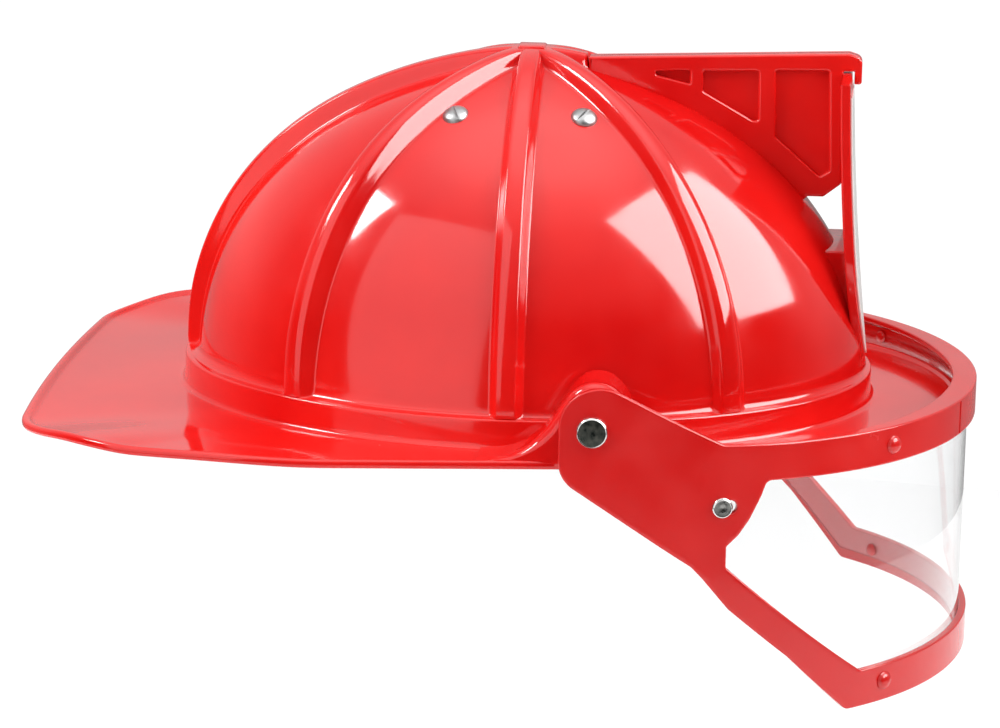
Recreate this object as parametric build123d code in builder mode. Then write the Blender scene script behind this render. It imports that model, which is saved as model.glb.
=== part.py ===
from build123d import *
from math import atan2, cos, hypot, radians, sin, sqrt
import os

# Child's play firefighter helmet with a swinging visor.
# Millimetres. +Z is up, -Y is the front and +X is the wearer's left.
# The origin is the centre of the head opening, level with the base ring of the dome.

os.makedirs("parts", exist_ok=True)

# ---- driving dimensions ----
WALL = 2.5                      # moulded wall of the shell
PANEL_AXES = (86.5, 117.5, 101.0)   # half width, half length and height of the dome panels
RIB_AXES = (91.0, 120.5, 106.5)     # the same for the tops of the ribs
RIB_WIDTH_CROWN = 8.0
RIB_WIDTH_BASE = 11.0
CROWN_TOP = 109.9
RING_AXES = (90.0, 120.0)       # base ring and skirt, outside
RING_TOP = 1.0

BRIM_BOTTOM = -11.2
BRIM_TOP = -9.5
RIM_TOP = -8.3                  # raised bead along the edge of the brim
RIM_WIDTH = 3.0
BRIM_REAR = 167.6
BRIM_FRONT = -152.3

PIVOT_Y = -29.7
PIVOT_Z = 3.0
BOSS_FACE = 105.5               # outer face of the pivot boss
BOSS_TOP_RADIUS = 13.8
BOSS_CENTRE_Y = -31.0
BOSS_FRONT_FOOT = 20.0
BOSS_REAR_FOOT = 27.0

BRACKET_WIDTH = 7.5
BRACKET_SEAM_Y = -19.5
BRACKET_TOP_REAR = 106.9
BRACKET_TOP_FRONT = 110.4
LIP_FRONT = -112.8

SHIELD_THICKNESS = 3.4
SHIELD_HALF_WIDTH = 27.0
SHIELD_TOP = 103.6
SHIELD_TIP = 1.4
SHIELD_AXIS_Y = 345.0           # upright axis that the shield is bowed about
SHIELD_SPREAD = 9.0             # degrees of that bow, a little more than the shield's width
SHIELD_FRONT = ((-110.0, 104.0), (-112.6, 55.0), (-118.8, -0.5))
FACE_THICKNESS = 0.6
FACE_INSET = 2.5
PEDESTAL_HALF_WIDTH = 18.5
PEDESTAL_TOP = 44.8

VISOR_RADIUS = 109.5            # outside of the visor, about an upright axis
VISOR_CENTRE_Y = -48.0
VISOR_WALL = 2.6
VISOR_TOP = -0.6
FLANGE_WIDTH = 8.0
FLANGE_THICKNESS = 2.0
LENS_THICKNESS = 0.8
LENS_GAP = 0.1

RIVET_SHANK = 5.0
RIVET_HEAD = 10.3
RUNNING_FIT = 0.05              # radial, visor arm on pivot rivet

BAND_AXES = (73.0, 90.0)        # inside of the headband
BAND_WALL = 1.4
BAND_BOTTOM = -6.0
BAND_TOP = 20.0
STRAP_THICKNESS = 1.2
SCREW_Y = (-20.3, 22.7)         # front and rear crown screws
SCREW_X = 34.9
SCREW_SHANK = 4.0


# ---- shapes used more than once ----
def ellipsoid(axes, inset=0.0):
    """An ellipsoid about the origin, its half axes shortened by inset and its poles on Y."""
    with BuildPart() as body:
        Sphere(1.0, rotation=(90, 0, 0))
        scale(by=tuple(a - inset for a in axes))
    return body.part


def radial_plane(angle, radius, centre_y, z):
    """A plane on an upright cylinder, facing outwards; angle 0 is the front, positive to the left."""
    out = Vector(sin(radians(angle)), -cos(radians(angle)), 0)
    return Plane(origin=Vector(0, centre_y, z) + out * radius, x_dir=(0, 0, 1), z_dir=out)


def turned(plane, outline):
    """A turned piece on a plane: outline is a list of (height, radius) points, height outwards."""
    with BuildPart() as piece:
        with BuildSketch(Plane(plane.origin, x_dir=plane.x_dir, z_dir=-plane.y_dir)):
            with BuildLine():
                Polyline(*[(r, h) for h, r in outline], close=True)
            make_face()
        revolve(axis=Axis(plane.origin, plane.z_dir))
    return piece.part


def plug(plane, radius, height, depth):
    """A round cutter along a plane's normal, from depth behind it to height before it."""
    return turned(plane, [(-depth, 0), (-depth, radius), (height, radius), (height, 0)])


def panel_plane(x, y):
    """The plane on the outside of the dome panel above (x, y), facing outwards."""
    a, b, h = PANEL_AXES
    z = h * sqrt(1 - (x / a) ** 2 - (y / b) ** 2)
    out = Vector(x / a**2, y / b**2, z / h**2).normalized()
    return Plane(origin=(x, y, z), x_dir=Vector(0, 1, 0).cross(out), z_dir=out)


dome_outside = ellipsoid(PANEL_AXES)
dome_inside = ellipsoid(PANEL_AXES, WALL)
rib_outside = ellipsoid(RIB_AXES)

crown_screw_planes = [panel_plane(side * SCREW_X, y) for side in (-1, 1) for y in SCREW_Y]
bracket_screw_planes = [panel_plane(0, y) for y in (-38.0, -80.6)]


# ---- front shield and its face plate ----
def shield_band(inner, outer):
    """The bowed sheet between two depths in front of the shield's back."""
    start = radians(-SHIELD_SPREAD / 2)
    out = Vector(sin(start), -cos(start), 0)
    plane = Plane(origin=(0, SHIELD_AXIS_Y, 0), x_dir=out, z_dir=out.cross(Vector(0, 0, 1)))
    shift = SHIELD_AXIS_Y - SHIELD_THICKNESS
    top, middle, tip = [(shift - y, z) for y, z in SHIELD_FRONT]
    with BuildPart() as band:
        with BuildSketch(plane):
            with BuildLine():
                back = ThreePointArc(*[(r + inner, z) for r, z in (top, middle, tip)])
                front = ThreePointArc(*[(r + outer, z) for r, z in (top, middle, tip)])
                Line(back @ 0, front @ 0)
                Line(back @ 1, front @ 1)
            make_face()
        revolve(axis=Axis((0, SHIELD_AXIS_Y, 0), (0, 0, 1)), revolution_arc=SHIELD_SPREAD)
    return band.part


def shield_outline(inset=0.0):
    """The outline of the shield seen from the front, drawn in from its edge by inset."""
    half = SHIELD_HALF_WIDTH - inset
    with BuildSketch() as outline:
        with BuildLine():
            top = Line((0, SHIELD_TOP - 2 * inset), (half, SHIELD_TOP - 2 * inset))
            edge = Line(top @ 1, (half, 50))
            ThreePointArc(edge @ 1, (half * 0.72, 20), (0, SHIELD_TIP + 1.5 * inset))
            mirror(about=Plane.YZ)
        make_face()
    return outline.sketch


pedestal_screw_planes = [
    Plane(origin=(x, -116.0, 34.0), x_dir=(1, 0, 0), z_dir=(0, -1, 0)) for x in (-11.0, 11.0)
]

with BuildPart() as front_shield:
    add(shield_band(0, SHIELD_THICKNESS))
    with BuildSketch(Plane.XZ.offset(140)):
        add(shield_outline())
    extrude(amount=-60, mode=Mode.INTERSECT)
    add(dome_outside, mode=Mode.SUBTRACT)
    for plane in pedestal_screw_planes:
        add(plug(plane, 1.4, -2.6, 12), mode=Mode.SUBTRACT)
front_shield.part.label = "front_shield"
export_step(front_shield.part, "parts/front_shield.step")

with BuildPart() as shield_face:
    add(shield_band(SHIELD_THICKNESS, SHIELD_THICKNESS + FACE_THICKNESS))
    with BuildSketch(Plane.XZ.offset(140)):
        add(shield_outline(FACE_INSET))
    extrude(amount=-60, mode=Mode.INTERSECT)
shield_face.part.label = "shield_face"
export_step(shield_face.part, "parts/shield_face.step")


# ---- shell: dome, ribs, ring, skirt, brim, pivot bosses and pedestal in one moulding ----
def rib_plan(length):
    """The plan of one rib, from the crown outwards along X."""
    with BuildSketch() as plan:
        with BuildLine():
            Polyline(
                (0, -RIB_WIDTH_CROWN / 2),
                (length, -RIB_WIDTH_BASE / 2),
                (length, RIB_WIDTH_BASE / 2),
                (0, RIB_WIDTH_CROWN / 2),
                close=True,
            )
        make_face()
    return plan.sketch


def brim_outline():
    """The outer outline of the brim in plan, from the front round the left side to the rear."""
    with BuildSketch() as plan:
        with BuildLine():
            front = TangentArc((0, BRIM_FRONT), (71.5, -118), tangent=(1, 0))
            temple = TangentArc(front @ 1, (102.2, -45), tangent=front % 1)
            side = PolarLine(temple @ 1, 104, direction=temple % 1)
            flare = TangentArc(side @ 1, (112.8, 120), tangent=side % 1)
            turn = TangentArc(flare @ 1, (104.3, 140), tangent=flare % 1)
            rear_side = TangentArc(turn @ 1, (83, 160), tangent=turn % 1)
            corner = TangentArc(rear_side @ 1, (70, 164.7), tangent=rear_side % 1)
            TangentArc((0, BRIM_REAR), corner @ 1, tangent=(1, 0))
            mirror(about=Plane.YZ)
        make_face()
    return plan.sketch


def boss_arch(inset=0.0):
    """The arch of a pivot boss seen from the side: X here runs to the rear and Y upwards."""
    radius = BOSS_TOP_RADIUS - inset
    with BuildSketch() as arch:
        with BuildLine():
            crown = CenterArc((BOSS_CENTRE_Y, 2.5), radius, 20, 140)
            front = Line(crown @ 1, (BOSS_CENTRE_Y - BOSS_FRONT_FOOT + inset, BRIM_BOTTOM))
            rear = Line(crown @ 0, (BOSS_CENTRE_Y + BOSS_REAR_FOOT - inset, BRIM_BOTTOM))
            Line(front @ 1, rear @ 1)
        make_face()
    return arch.sketch


with BuildPart() as dome_ribs:
    for angle in (0, 45, 90, 135, 180, 225, 315):
        direction = Vector(cos(radians(angle)), sin(radians(angle)), 0)
        with BuildSketch(Plane(origin=(0, 0, -1), x_dir=direction, z_dir=(0, 0, 1))):
            add(rib_plan(140))
        extrude(amount=120)
    with BuildSketch(Plane(origin=(0, 0, -1), x_dir=(0, -1, 0), z_dir=(0, 0, 1))):
        Rectangle(-BRACKET_SEAM_Y, RIB_WIDTH_CROWN, align=(Align.MIN, Align.CENTER))
    extrude(amount=120)
    add(rib_outside, mode=Mode.INTERSECT)

with BuildPart() as brim:
    with BuildSketch(Plane.XY.offset(BRIM_BOTTOM)):
        add(brim_outline())
    extrude(amount=RIM_TOP - BRIM_BOTTOM)
    with BuildSketch(Plane.XY.offset(BRIM_TOP)):
        add(brim_outline())
        offset(amount=-RIM_WIDTH, mode=Mode.REPLACE)
    extrude(amount=5, mode=Mode.SUBTRACT)

with BuildPart() as helmet_shell:
    add(dome_outside)
    add(dome_ribs.part)
    with Locations((0, 0, CROWN_TOP)):
        Box(9.4, 9.4, 8, align=(Align.CENTER, Align.CENTER, Align.MAX))
    with Locations((0, -108.0, 0)):
        Box(2 * PEDESTAL_HALF_WIDTH, 20, PEDESTAL_TOP, align=(Align.CENTER, Align.CENTER, Align.MIN))
    add(shield_band(0, 30), mode=Mode.SUBTRACT)
    split(bisect_by=Plane.XY.offset(-2))
    with BuildSketch(Plane.XY.offset(BRIM_BOTTOM)):
        Ellipse(*RING_AXES)
    extrude(amount=RING_TOP - BRIM_BOTTOM)
    add(brim.part)
    for side in (-1, 1):
        with BuildSketch(Plane.YZ.offset(side * BOSS_FACE)):
            add(boss_arch())
        extrude(amount=-side * 25)
    for side in (-1, 1):
        with BuildSketch(Plane.YZ.offset(side * (BOSS_FACE - WALL))):
            add(boss_arch(WALL))
        extrude(amount=-side * 30, mode=Mode.SUBTRACT)
        pivot = Plane(origin=(side * BOSS_FACE, PIVOT_Y, PIVOT_Z), x_dir=(0, 0, 1), z_dir=(side, 0, 0))
        add(plug(pivot, RIVET_SHANK / 2 + 0.1, 5, 6), mode=Mode.SUBTRACT)
    with BuildSketch(Plane.XY.offset(BRIM_BOTTOM)):
        Ellipse(RING_AXES[0] - WALL, RING_AXES[1] - WALL)
    extrude(amount=RING_TOP - BRIM_BOTTOM - 0.5, mode=Mode.SUBTRACT)
    add(dome_inside, mode=Mode.SUBTRACT)
    for plane in crown_screw_planes:
        add(plug(plane, SCREW_SHANK / 2 + 0.1, 2, 6), mode=Mode.SUBTRACT)
    for plane in bracket_screw_planes:
        add(plug(plane, 1.6, 2, 6), mode=Mode.SUBTRACT)
    for plane in pedestal_screw_planes:
        add(plug(plane, 1.6, 2, 20), mode=Mode.SUBTRACT)
        add(plug(plane, 3.6, -8.7, 20), mode=Mode.SUBTRACT)
helmet_shell.part.label = "helmet_shell"
export_step(helmet_shell.part, "parts/helmet_shell.step")


# ---- bracket between crown and shield ----
BRACKET_POCKETS = (
    ((-42.5, 102.3), (-54.3, 102.9), (-54.4, 98.5), (-42.5, 100.9)),
    ((-58.8, 102.8), (-77.7, 103.3), (-78.0, 86.4), (-59.0, 95.9)),
    ((-83.6, 103.8), (-101.6, 104.2), (-102.8, 70.0), (-99.6, 67.6), (-84.2, 80.8)),
)
BRACKET_WEB = 2.0

with BuildPart() as shield_bracket:
    with BuildSketch(Plane.YZ.offset(-BRACKET_WIDTH / 2)) as side_view:
        with BuildLine():
            top = Line((BRACKET_SEAM_Y - 0.2, BRACKET_TOP_REAR), (-108.4, BRACKET_TOP_FRONT))
            nose = TangentArc(top @ 1, (LIP_FRONT, 105.6), tangent=top % 1)
            Polyline(
                nose @ 1,
                (LIP_FRONT, 99.8),
                (-109.8, 99.8),
                (-109.0, 64.6),
                (-101.2, 60.7),
                (-94.0, 60.7),
                (BRACKET_SEAM_Y - 0.2, 95.0),
                top @ 0,
            )
        make_face()
    extrude(amount=BRACKET_WIDTH)
    add(shield_band(0, SHIELD_THICKNESS), mode=Mode.SUBTRACT)
    add(dome_outside, mode=Mode.SUBTRACT)
    for side in (-1, 1):
        for corners in BRACKET_POCKETS:
            with BuildSketch(Plane.YZ.offset(side * BRACKET_WIDTH / 2)) as pocket:
                with BuildLine():
                    Polyline(*corners, close=True)
                make_face()
                fillet(pocket.vertices(), 0.5)
            extrude(amount=-side * (BRACKET_WIDTH - BRACKET_WEB) / 2, mode=Mode.SUBTRACT)
    for plane in bracket_screw_planes:
        add(plug(plane, 1.4, 5.2, 6), mode=Mode.SUBTRACT)
shield_bracket.part.label = "shield_bracket"
export_step(shield_bracket.part, "parts/shield_bracket.step")

# self-tapping screws from inside the shell
with BuildPart() as bracket_screws:
    seat = -WALL - 0.35
    for plane in bracket_screw_planes:
        screw = [(seat - 1.8, 0), (seat - 1.8, 2.0), (seat - 1.1, 3.0), (seat, 3.0), (seat, 1.4), (5.0, 1.4), (5.0, 0)]
        add(turned(plane, screw))
bracket_screws.part.label = "bracket_screws"
export_step(bracket_screws.part, "parts/bracket_screws.step")

with BuildPart() as shield_screws:
    seat = -8.7
    for plane in pedestal_screw_planes:
        screw = [(seat - 1.8, 0), (seat - 1.8, 2.0), (seat - 1.1, 3.0), (seat, 3.0), (seat, 1.4), (-2.8, 1.4), (-2.8, 0)]
        add(turned(plane, screw))
shield_screws.part.label = "shield_screws"
export_step(shield_screws.part, "parts/shield_screws.step")


# ---- visor: frame, clear lens and its fasteners ----
VISOR_BOTTOM = -95.6
ARM_REAR = -18.8
STUD_ANGLES = (-43.0, 43.0)
STUD_LEVELS = {"upper": -6.8, "lower": -88.6}
LENS_RIVET_ANGLE = 77.3
LENS_RIVET_Z = -21.3
STUD_SHANK = 1.5


def visor_wall(outer):
    """The plan of the visor's inside up to a radius: a half circle with straight sides to the rear."""
    with BuildSketch() as plan:
        with Locations((0, VISOR_CENTRE_Y)):
            Circle(outer)
        with Locations((0, VISOR_CENTRE_Y)):
            Rectangle(2 * outer, -VISOR_CENTRE_Y, align=(Align.CENTER, Align.MIN))
    return plan.sketch


def stud_planes(level):
    return [radial_plane(angle, VISOR_RADIUS, VISOR_CENTRE_Y, level) for angle in STUD_ANGLES]


lens_rivet_planes = {
    name: radial_plane(angle, VISOR_RADIUS, VISOR_CENTRE_Y, LENS_RIVET_Z)
    for name, angle in (("right", -LENS_RIVET_ANGLE), ("left", LENS_RIVET_ANGLE))
}
# the rivet holes in the frame open forwards into a wider relief, half hidden by the rivet heads
relief_planes = [
    radial_plane(side * (LENS_RIVET_ANGLE - 1.36), VISOR_RADIUS, VISOR_CENTRE_Y, LENS_RIVET_Z)
    for side in (-1, 1)
]

with BuildPart() as visor_frame:
    with BuildSketch(Plane.XY.offset(VISOR_BOTTOM)):
        add(visor_wall(VISOR_RADIUS))
        add(visor_wall(VISOR_RADIUS - VISOR_WALL), mode=Mode.SUBTRACT)
    extrude(amount=120)
    with BuildSketch(Plane.YZ.offset(-130)) as side_view:
        with BuildLine():
            Polyline(
                (-170, VISOR_TOP),
                (-72, VISOR_TOP),
                (ARM_REAR, 25.3),
                (ARM_REAR, -13.2),
                (-63.5, -42.0),
                (-75.0, -56.0),
                (-95.0, -74.0),
                (-114.8, VISOR_BOTTOM),
                (-170, VISOR_BOTTOM),
                close=True,
            )
        make_face()
        fillet(side_view.vertices().sort_by_distance((ARM_REAR, 25.3))[0], 13)
        fillet(side_view.vertices().sort_by_distance((ARM_REAR, -13.2))[0], 10)
    extrude(amount=260, mode=Mode.INTERSECT)
    with BuildSketch(Plane.YZ.offset(-130)):
        with BuildLine():
            sill = Line((-170, -13.0), (-86.5, -13.0))
            bulge = ThreePointArc(sill @ 1, (-82.0, -24.5), (-74.0, -34.5))
            Polyline(bulge @ 1, (-74.0, -41.6), (-119.0, -82.6), (-170, -82.6), sill @ 0)
        make_face()
    extrude(amount=260, mode=Mode.SUBTRACT)
    with BuildSketch(Plane.XY.offset(VISOR_TOP)):
        with Locations((0, VISOR_CENTRE_Y)):
            Circle(VISOR_RADIUS)
            Circle(VISOR_RADIUS - FLANGE_WIDTH, mode=Mode.SUBTRACT)
        with Locations((0, -76)):
            Rectangle(240, 200, align=(Align.CENTER, Align.MIN), mode=Mode.SUBTRACT)
    extrude(amount=-FLANGE_THICKNESS)
    for side in (-1, 1):
        pivot = Plane(origin=(side * VISOR_RADIUS, PIVOT_Y, PIVOT_Z), x_dir=(0, 0, 1), z_dir=(side, 0, 0))
        add(plug(pivot, RIVET_SHANK / 2 + RUNNING_FIT, 2, 4), mode=Mode.SUBTRACT)
    for plane in [*lens_rivet_planes.values(), *stud_planes(STUD_LEVELS["upper"]), *stud_planes(STUD_LEVELS["lower"])]:
        add(plug(plane, STUD_SHANK, 2, 5), mode=Mode.SUBTRACT)
    for plane in relief_planes:
        add(plug(plane, 2.3, 2, 5), mode=Mode.SUBTRACT)
visor_frame.part.label = "visor_frame"
export_step(visor_frame.part, "parts/visor_frame.step")

with BuildPart() as visor_lens:
    lens_outside = VISOR_RADIUS - VISOR_WALL - LENS_GAP
    with BuildSketch(Plane.XY.offset(VISOR_BOTTOM)):
        add(visor_wall(lens_outside))
        add(visor_wall(lens_outside - LENS_THICKNESS), mode=Mode.SUBTRACT)
    extrude(amount=120)
    with BuildSketch(Plane.YZ.offset(-130)):
        with BuildLine():
            Polyline(
                (-170, -3.4),
                (-80, -3.4),
                (-66, -10),
                (-66, -42),
                (-115, -91.6),
                (-170, -91.6),
                close=True,
            )
        make_face()
    extrude(amount=260, mode=Mode.INTERSECT)
    for plane in [*lens_rivet_planes.values(), *stud_planes(STUD_LEVELS["upper"]), *stud_planes(STUD_LEVELS["lower"])]:
        add(plug(plane, STUD_SHANK, 2, 8), mode=Mode.SUBTRACT)
visor_lens.part.label = "visor_lens"
export_step(visor_lens.part, "parts/visor_lens.step")

LENS_BACK = -(VISOR_WALL + LENS_GAP + LENS_THICKNESS)

for row, level in STUD_LEVELS.items():
    with BuildPart() as studs:
        for plane in stud_planes(level):
            stud = [
                (LENS_BACK - 1.0, 0),
                (LENS_BACK - 1.0, 1.6),
                (LENS_BACK - 0.05, 2.3),
                (LENS_BACK - 0.05, STUD_SHANK - 0.02),
                (0.1, STUD_SHANK - 0.02),
                (0.1, 3.0),
                (0.8, 2.8),
                (1.5, 1.9),
                (1.8, 0),
            ]
            add(turned(plane, stud))
    studs.part.label = f"lens_studs_{row}"
    export_step(studs.part, f"parts/lens_studs_{row}.step")

for name, plane in lens_rivet_planes.items():
    with BuildPart() as lens_rivet:
        rivet = [
            (LENS_BACK - 1.4, 0),
            (LENS_BACK - 1.4, 2.2),
            (LENS_BACK - 0.6, 2.6),
            (LENS_BACK - 0.6, STUD_SHANK - 0.02),
            (0.05, STUD_SHANK - 0.02),
            (0.05, 3.4),
            (0.8, 3.3),
            (1.2, 2.6),
            (1.3, 0),
        ]
        add(turned(plane, rivet))
    lens_rivet.part.label = f"lens_rivet_{name}"
    export_step(lens_rivet.part, f"parts/lens_rivet_{name}.step")

with BuildPart() as lens_washers:
    for plane in lens_rivet_planes.values():
        rim = (LENS_BACK - 0.6, LENS_BACK - 0.1)
        add(turned(plane, [(rim[0], STUD_SHANK), (rim[0], 3.6), (rim[1], 3.6), (rim[1], STUD_SHANK)]))
lens_washers.part.label = "lens_washers"
export_step(lens_washers.part, "parts/lens_washers.step")


# ---- visor pivots, one each side ----
RIVET_END = BOSS_FACE - WALL - 0.9
ARM_INSIDE = VISOR_RADIUS - VISOR_WALL

for name, side in (("right", -1), ("left", 1)):
    hub = Plane(origin=(0, PIVOT_Y, PIVOT_Z), x_dir=(0, 0, 1), z_dir=(side, 0, 0))
    shank = RIVET_SHANK / 2
    with BuildPart() as pivot_rivet:
        rivet = [
            (RIVET_END - 1.2, 0),
            (RIVET_END - 1.2, 3.2),
            (RIVET_END - 0.05, 3.8),
            (RIVET_END - 0.05, shank),
            (VISOR_RADIUS + 0.1, shank),
            (VISOR_RADIUS + 0.1, RIVET_HEAD / 2),
            (VISOR_RADIUS + 0.9, RIVET_HEAD / 2),
            (VISOR_RADIUS + 1.7, RIVET_HEAD / 2 - 0.9),
            (VISOR_RADIUS + 1.7, 0),
        ]
        add(turned(hub, rivet))
    pivot_rivet.part.label = f"pivot_rivet_{name}"
    export_step(pivot_rivet.part, f"parts/pivot_rivet_{name}.step")

    with BuildPart() as pivot_spacer:
        near, far = BOSS_FACE + 0.02, ARM_INSIDE - 0.1
        add(turned(hub, [(near, shank + 0.05), (near, 6.5), (far, 6.5), (far, shank + 0.05)]))
    pivot_spacer.part.label = f"pivot_spacer_{name}"
    export_step(pivot_spacer.part, f"parts/pivot_spacer_{name}.step")

with BuildPart() as pivot_backing_washers:
    for side in (-1, 1):
        hub = Plane(origin=(0, PIVOT_Y, PIVOT_Z), x_dir=(0, 0, 1), z_dir=(side, 0, 0))
        near, far = RIVET_END, BOSS_FACE - WALL - 0.02
        add(turned(hub, [(near, shank + 0.05), (near, 5.0), (far, 5.0), (far, shank + 0.05)]))
pivot_backing_washers.part.label = "pivot_backing_washers"
export_step(pivot_backing_washers.part, "parts/pivot_backing_washers.step")


# ---- head suspension: crown screws, legs, headband, nape strap and brow pad ----
LEG_DEPTH = WALL + 1.2          # from the outside of the dome to the leg's near face
HEAD_RADIUS = 4.4
NUT_ACROSS_FLATS = 7.0
NUT_HEIGHT = 3.2

with BuildPart() as crown_screws:
    for plane in crown_screw_planes:
        screw = [
            (-LEG_DEPTH - STRAP_THICKNESS - NUT_HEIGHT - 1.2, 0),
            (-LEG_DEPTH - STRAP_THICKNESS - NUT_HEIGHT - 1.2, SCREW_SHANK / 2),
            (0.05, SCREW_SHANK / 2),
            (0.05, HEAD_RADIUS),
            (1.0, HEAD_RADIUS),
            (2.1, 3.5),
            (2.8, 2.0),
            (3.1, 0),
        ]
        add(turned(plane, screw))
    for plane in crown_screw_planes:
        with BuildSketch(plane.offset(3.2)):
            Rectangle(12, 1.1)
        extrude(amount=-1.3, mode=Mode.SUBTRACT)
crown_screws.part.label = "crown_screws"
export_step(crown_screws.part, "parts/crown_screws.step")

with BuildPart() as crown_washers:
    for plane in crown_screw_planes:
        near, far = -WALL - 0.15, -LEG_DEPTH + 0.02
        add(turned(plane, [(far, 2.05), (far, 4.4), (near, 4.4), (near, 2.05)]))
crown_washers.part.label = "crown_washers"
export_step(crown_washers.part, "parts/crown_washers.step")

with BuildPart() as crown_nuts:
    for plane in crown_screw_planes:
        with BuildSketch(plane.offset(-LEG_DEPTH - STRAP_THICKNESS - 0.03)):
            RegularPolygon(NUT_ACROSS_FLATS / 2, 6, major_radius=False)
            Circle(SCREW_SHANK / 2 + 0.02, mode=Mode.SUBTRACT)
        extrude(amount=-NUT_HEIGHT)
crown_nuts.part.label = "crown_nuts"
export_step(crown_nuts.part, "parts/crown_nuts.step")


def band_plane(x_sign, reach):
    """The upright plane on the outside of the headband where y / half length is reach."""
    a, b = BAND_AXES[0] + BAND_WALL, BAND_AXES[1] + BAND_WALL
    y = reach * b
    x = x_sign * a * sqrt(1 - reach**2)
    out = Vector(x / a**2, y / b**2, 0).normalized()
    return Plane(origin=(x, y, 0), x_dir=(0, 0, 1), z_dir=out)


LEG_WIDTH = 14.0
LEG_RIVET_Z = 9.0
leg_rivet_planes = []

for name, y in (("front", SCREW_Y[0]), ("rear", SCREW_Y[1])):
    with BuildPart() as legs:
        for side in (-1, 1):
            seat = panel_plane(side * SCREW_X, y)
            out = Vector(seat.z_dir.X, seat.z_dir.Y, 0).normalized()
            upright = Plane(origin=seat.origin, x_dir=out, z_dir=out.cross(Vector(0, 0, 1)))
            tilt = atan2(hypot(seat.z_dir.X, seat.z_dir.Y), seat.z_dir.Z)
            depth = LEG_DEPTH + STRAP_THICKNESS / 2
            middle = Vector(-depth * sin(tilt), -depth * cos(tilt))
            along = Vector(cos(tilt), -sin(tilt))
            # distance out to the face of the headband, along the leg's own upright plane
            a = BAND_AXES[0] + BAND_WALL + 0.1 + STRAP_THICKNESS / 2
            b = BAND_AXES[1] + BAND_WALL + 0.1 + STRAP_THICKNESS / 2
            p = (out.X / a) ** 2 + (out.Y / b) ** 2
            q = seat.origin.X * out.X / a**2 + seat.origin.Y * out.Y / b**2
            r = (seat.origin.X / a) ** 2 + (seat.origin.Y / b) ** 2 - 1
            reach = (-q + sqrt(q * q - p * r)) / p
            foot = Vector(reach, 22 - seat.origin.Z)
            with BuildSketch(upright):
                with BuildLine():
                    FilletPolyline(
                        middle - along * 7,
                        middle + along * 10,
                        foot,
                        foot + Vector(0, -22),
                        radius=8,
                    )
                trace(line_width=STRAP_THICKNESS)
            extrude(amount=LEG_WIDTH / 2, both=True)
            add(plug(seat, SCREW_SHANK / 2 + 0.05, 2, 8), mode=Mode.SUBTRACT)
            at = seat.origin + out * (reach - STRAP_THICKNESS / 2)
            rivet_plane = Plane(origin=(at.X, at.Y, LEG_RIVET_Z), x_dir=(0, 0, 1), z_dir=out)
            leg_rivet_planes.append(rivet_plane)
            add(plug(rivet_plane, 1.8, 4, 6), mode=Mode.SUBTRACT)
    legs.part.label = f"suspension_legs_{name}"
    export_step(legs.part, f"parts/suspension_legs_{name}.step")

with BuildPart() as leg_rivets:
    for plane in leg_rivet_planes:
        rivet = [(-3.4, 0), (-3.4, 1.75), (1.5, 1.75), (1.5, 3.2), (2.2, 2.8), (2.6, 0)]
        add(turned(plane, rivet))
leg_rivets.part.label = "leg_rivets"
export_step(leg_rivets.part, "parts/leg_rivets.step")

ADJUSTER_REACH = (0.93, 0.965)
BAND_GAP_HALF = 16.0

with BuildPart() as headband:
    with BuildSketch(Plane.XY.offset(BAND_BOTTOM)):
        Ellipse(BAND_AXES[0] + BAND_WALL, BAND_AXES[1] + BAND_WALL)
        Ellipse(*BAND_AXES, mode=Mode.SUBTRACT)
        with Locations((0, BAND_AXES[1])):
            Rectangle(2 * BAND_GAP_HALF, 40, mode=Mode.SUBTRACT)
    extrude(amount=BAND_TOP - BAND_BOTTOM)
    for plane in leg_rivet_planes:
        add(plug(plane, 1.85, 4, 6), mode=Mode.SUBTRACT)
    for side in (-1, 1):
        for reach in ADJUSTER_REACH:
            hole = band_plane(side, reach)
            hole.origin = hole.origin + Vector(0, 0, 7)
            add(plug(hole, 1.9, 3, 4), mode=Mode.SUBTRACT)
headband.part.label = "headband"
export_step(headband.part, "parts/headband.step")

with BuildPart() as nape_strap:
    clear = 0.15
    with BuildSketch(Plane.XY.offset(-1)):
        Ellipse(BAND_AXES[0] + 2 * BAND_WALL + clear, BAND_AXES[1] + 2 * BAND_WALL + clear)
        Ellipse(BAND_AXES[0] + BAND_WALL + clear, BAND_AXES[1] + BAND_WALL + clear, mode=Mode.SUBTRACT)
        with Locations((0, 77)):
            Rectangle(200, 400, align=(Align.CENTER, Align.MAX), mode=Mode.SUBTRACT)
    extrude(amount=16)
    for side in (-1, 1):
        for reach in ADJUSTER_REACH:
            peg = band_plane(side, reach)
            peg.origin = peg.origin + Vector(0, 0, 7)
            add(turned(peg, [(-2.6, 0), (-2.6, 1.4), (-2.2, 1.8), (0.8, 1.8), (0.8, 0)]))
nape_strap.part.label = "nape_strap"
export_step(nape_strap.part, "parts/nape_strap.step")

with BuildPart() as brow_pad:
    with BuildSketch(Plane.XY.offset(-5)):
        Ellipse(BAND_AXES[0] - 0.2, BAND_AXES[1] - 0.2)
        Ellipse(BAND_AXES[0] - 4.2, BAND_AXES[1] - 4.2, mode=Mode.SUBTRACT)
        with Locations((0, -46)):
            Rectangle(200, 300, align=(Align.CENTER, Align.MIN), mode=Mode.SUBTRACT)
    extrude(amount=24)
brow_pad.part.label = "brow_pad"
export_step(brow_pad.part, "parts/brow_pad.step")
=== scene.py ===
from math import acos, asin, atan2, cos, hypot, pi, radians, sin, sqrt

import bmesh
import bpy
import numpy as np
from mathutils import Matrix, Vector


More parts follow.
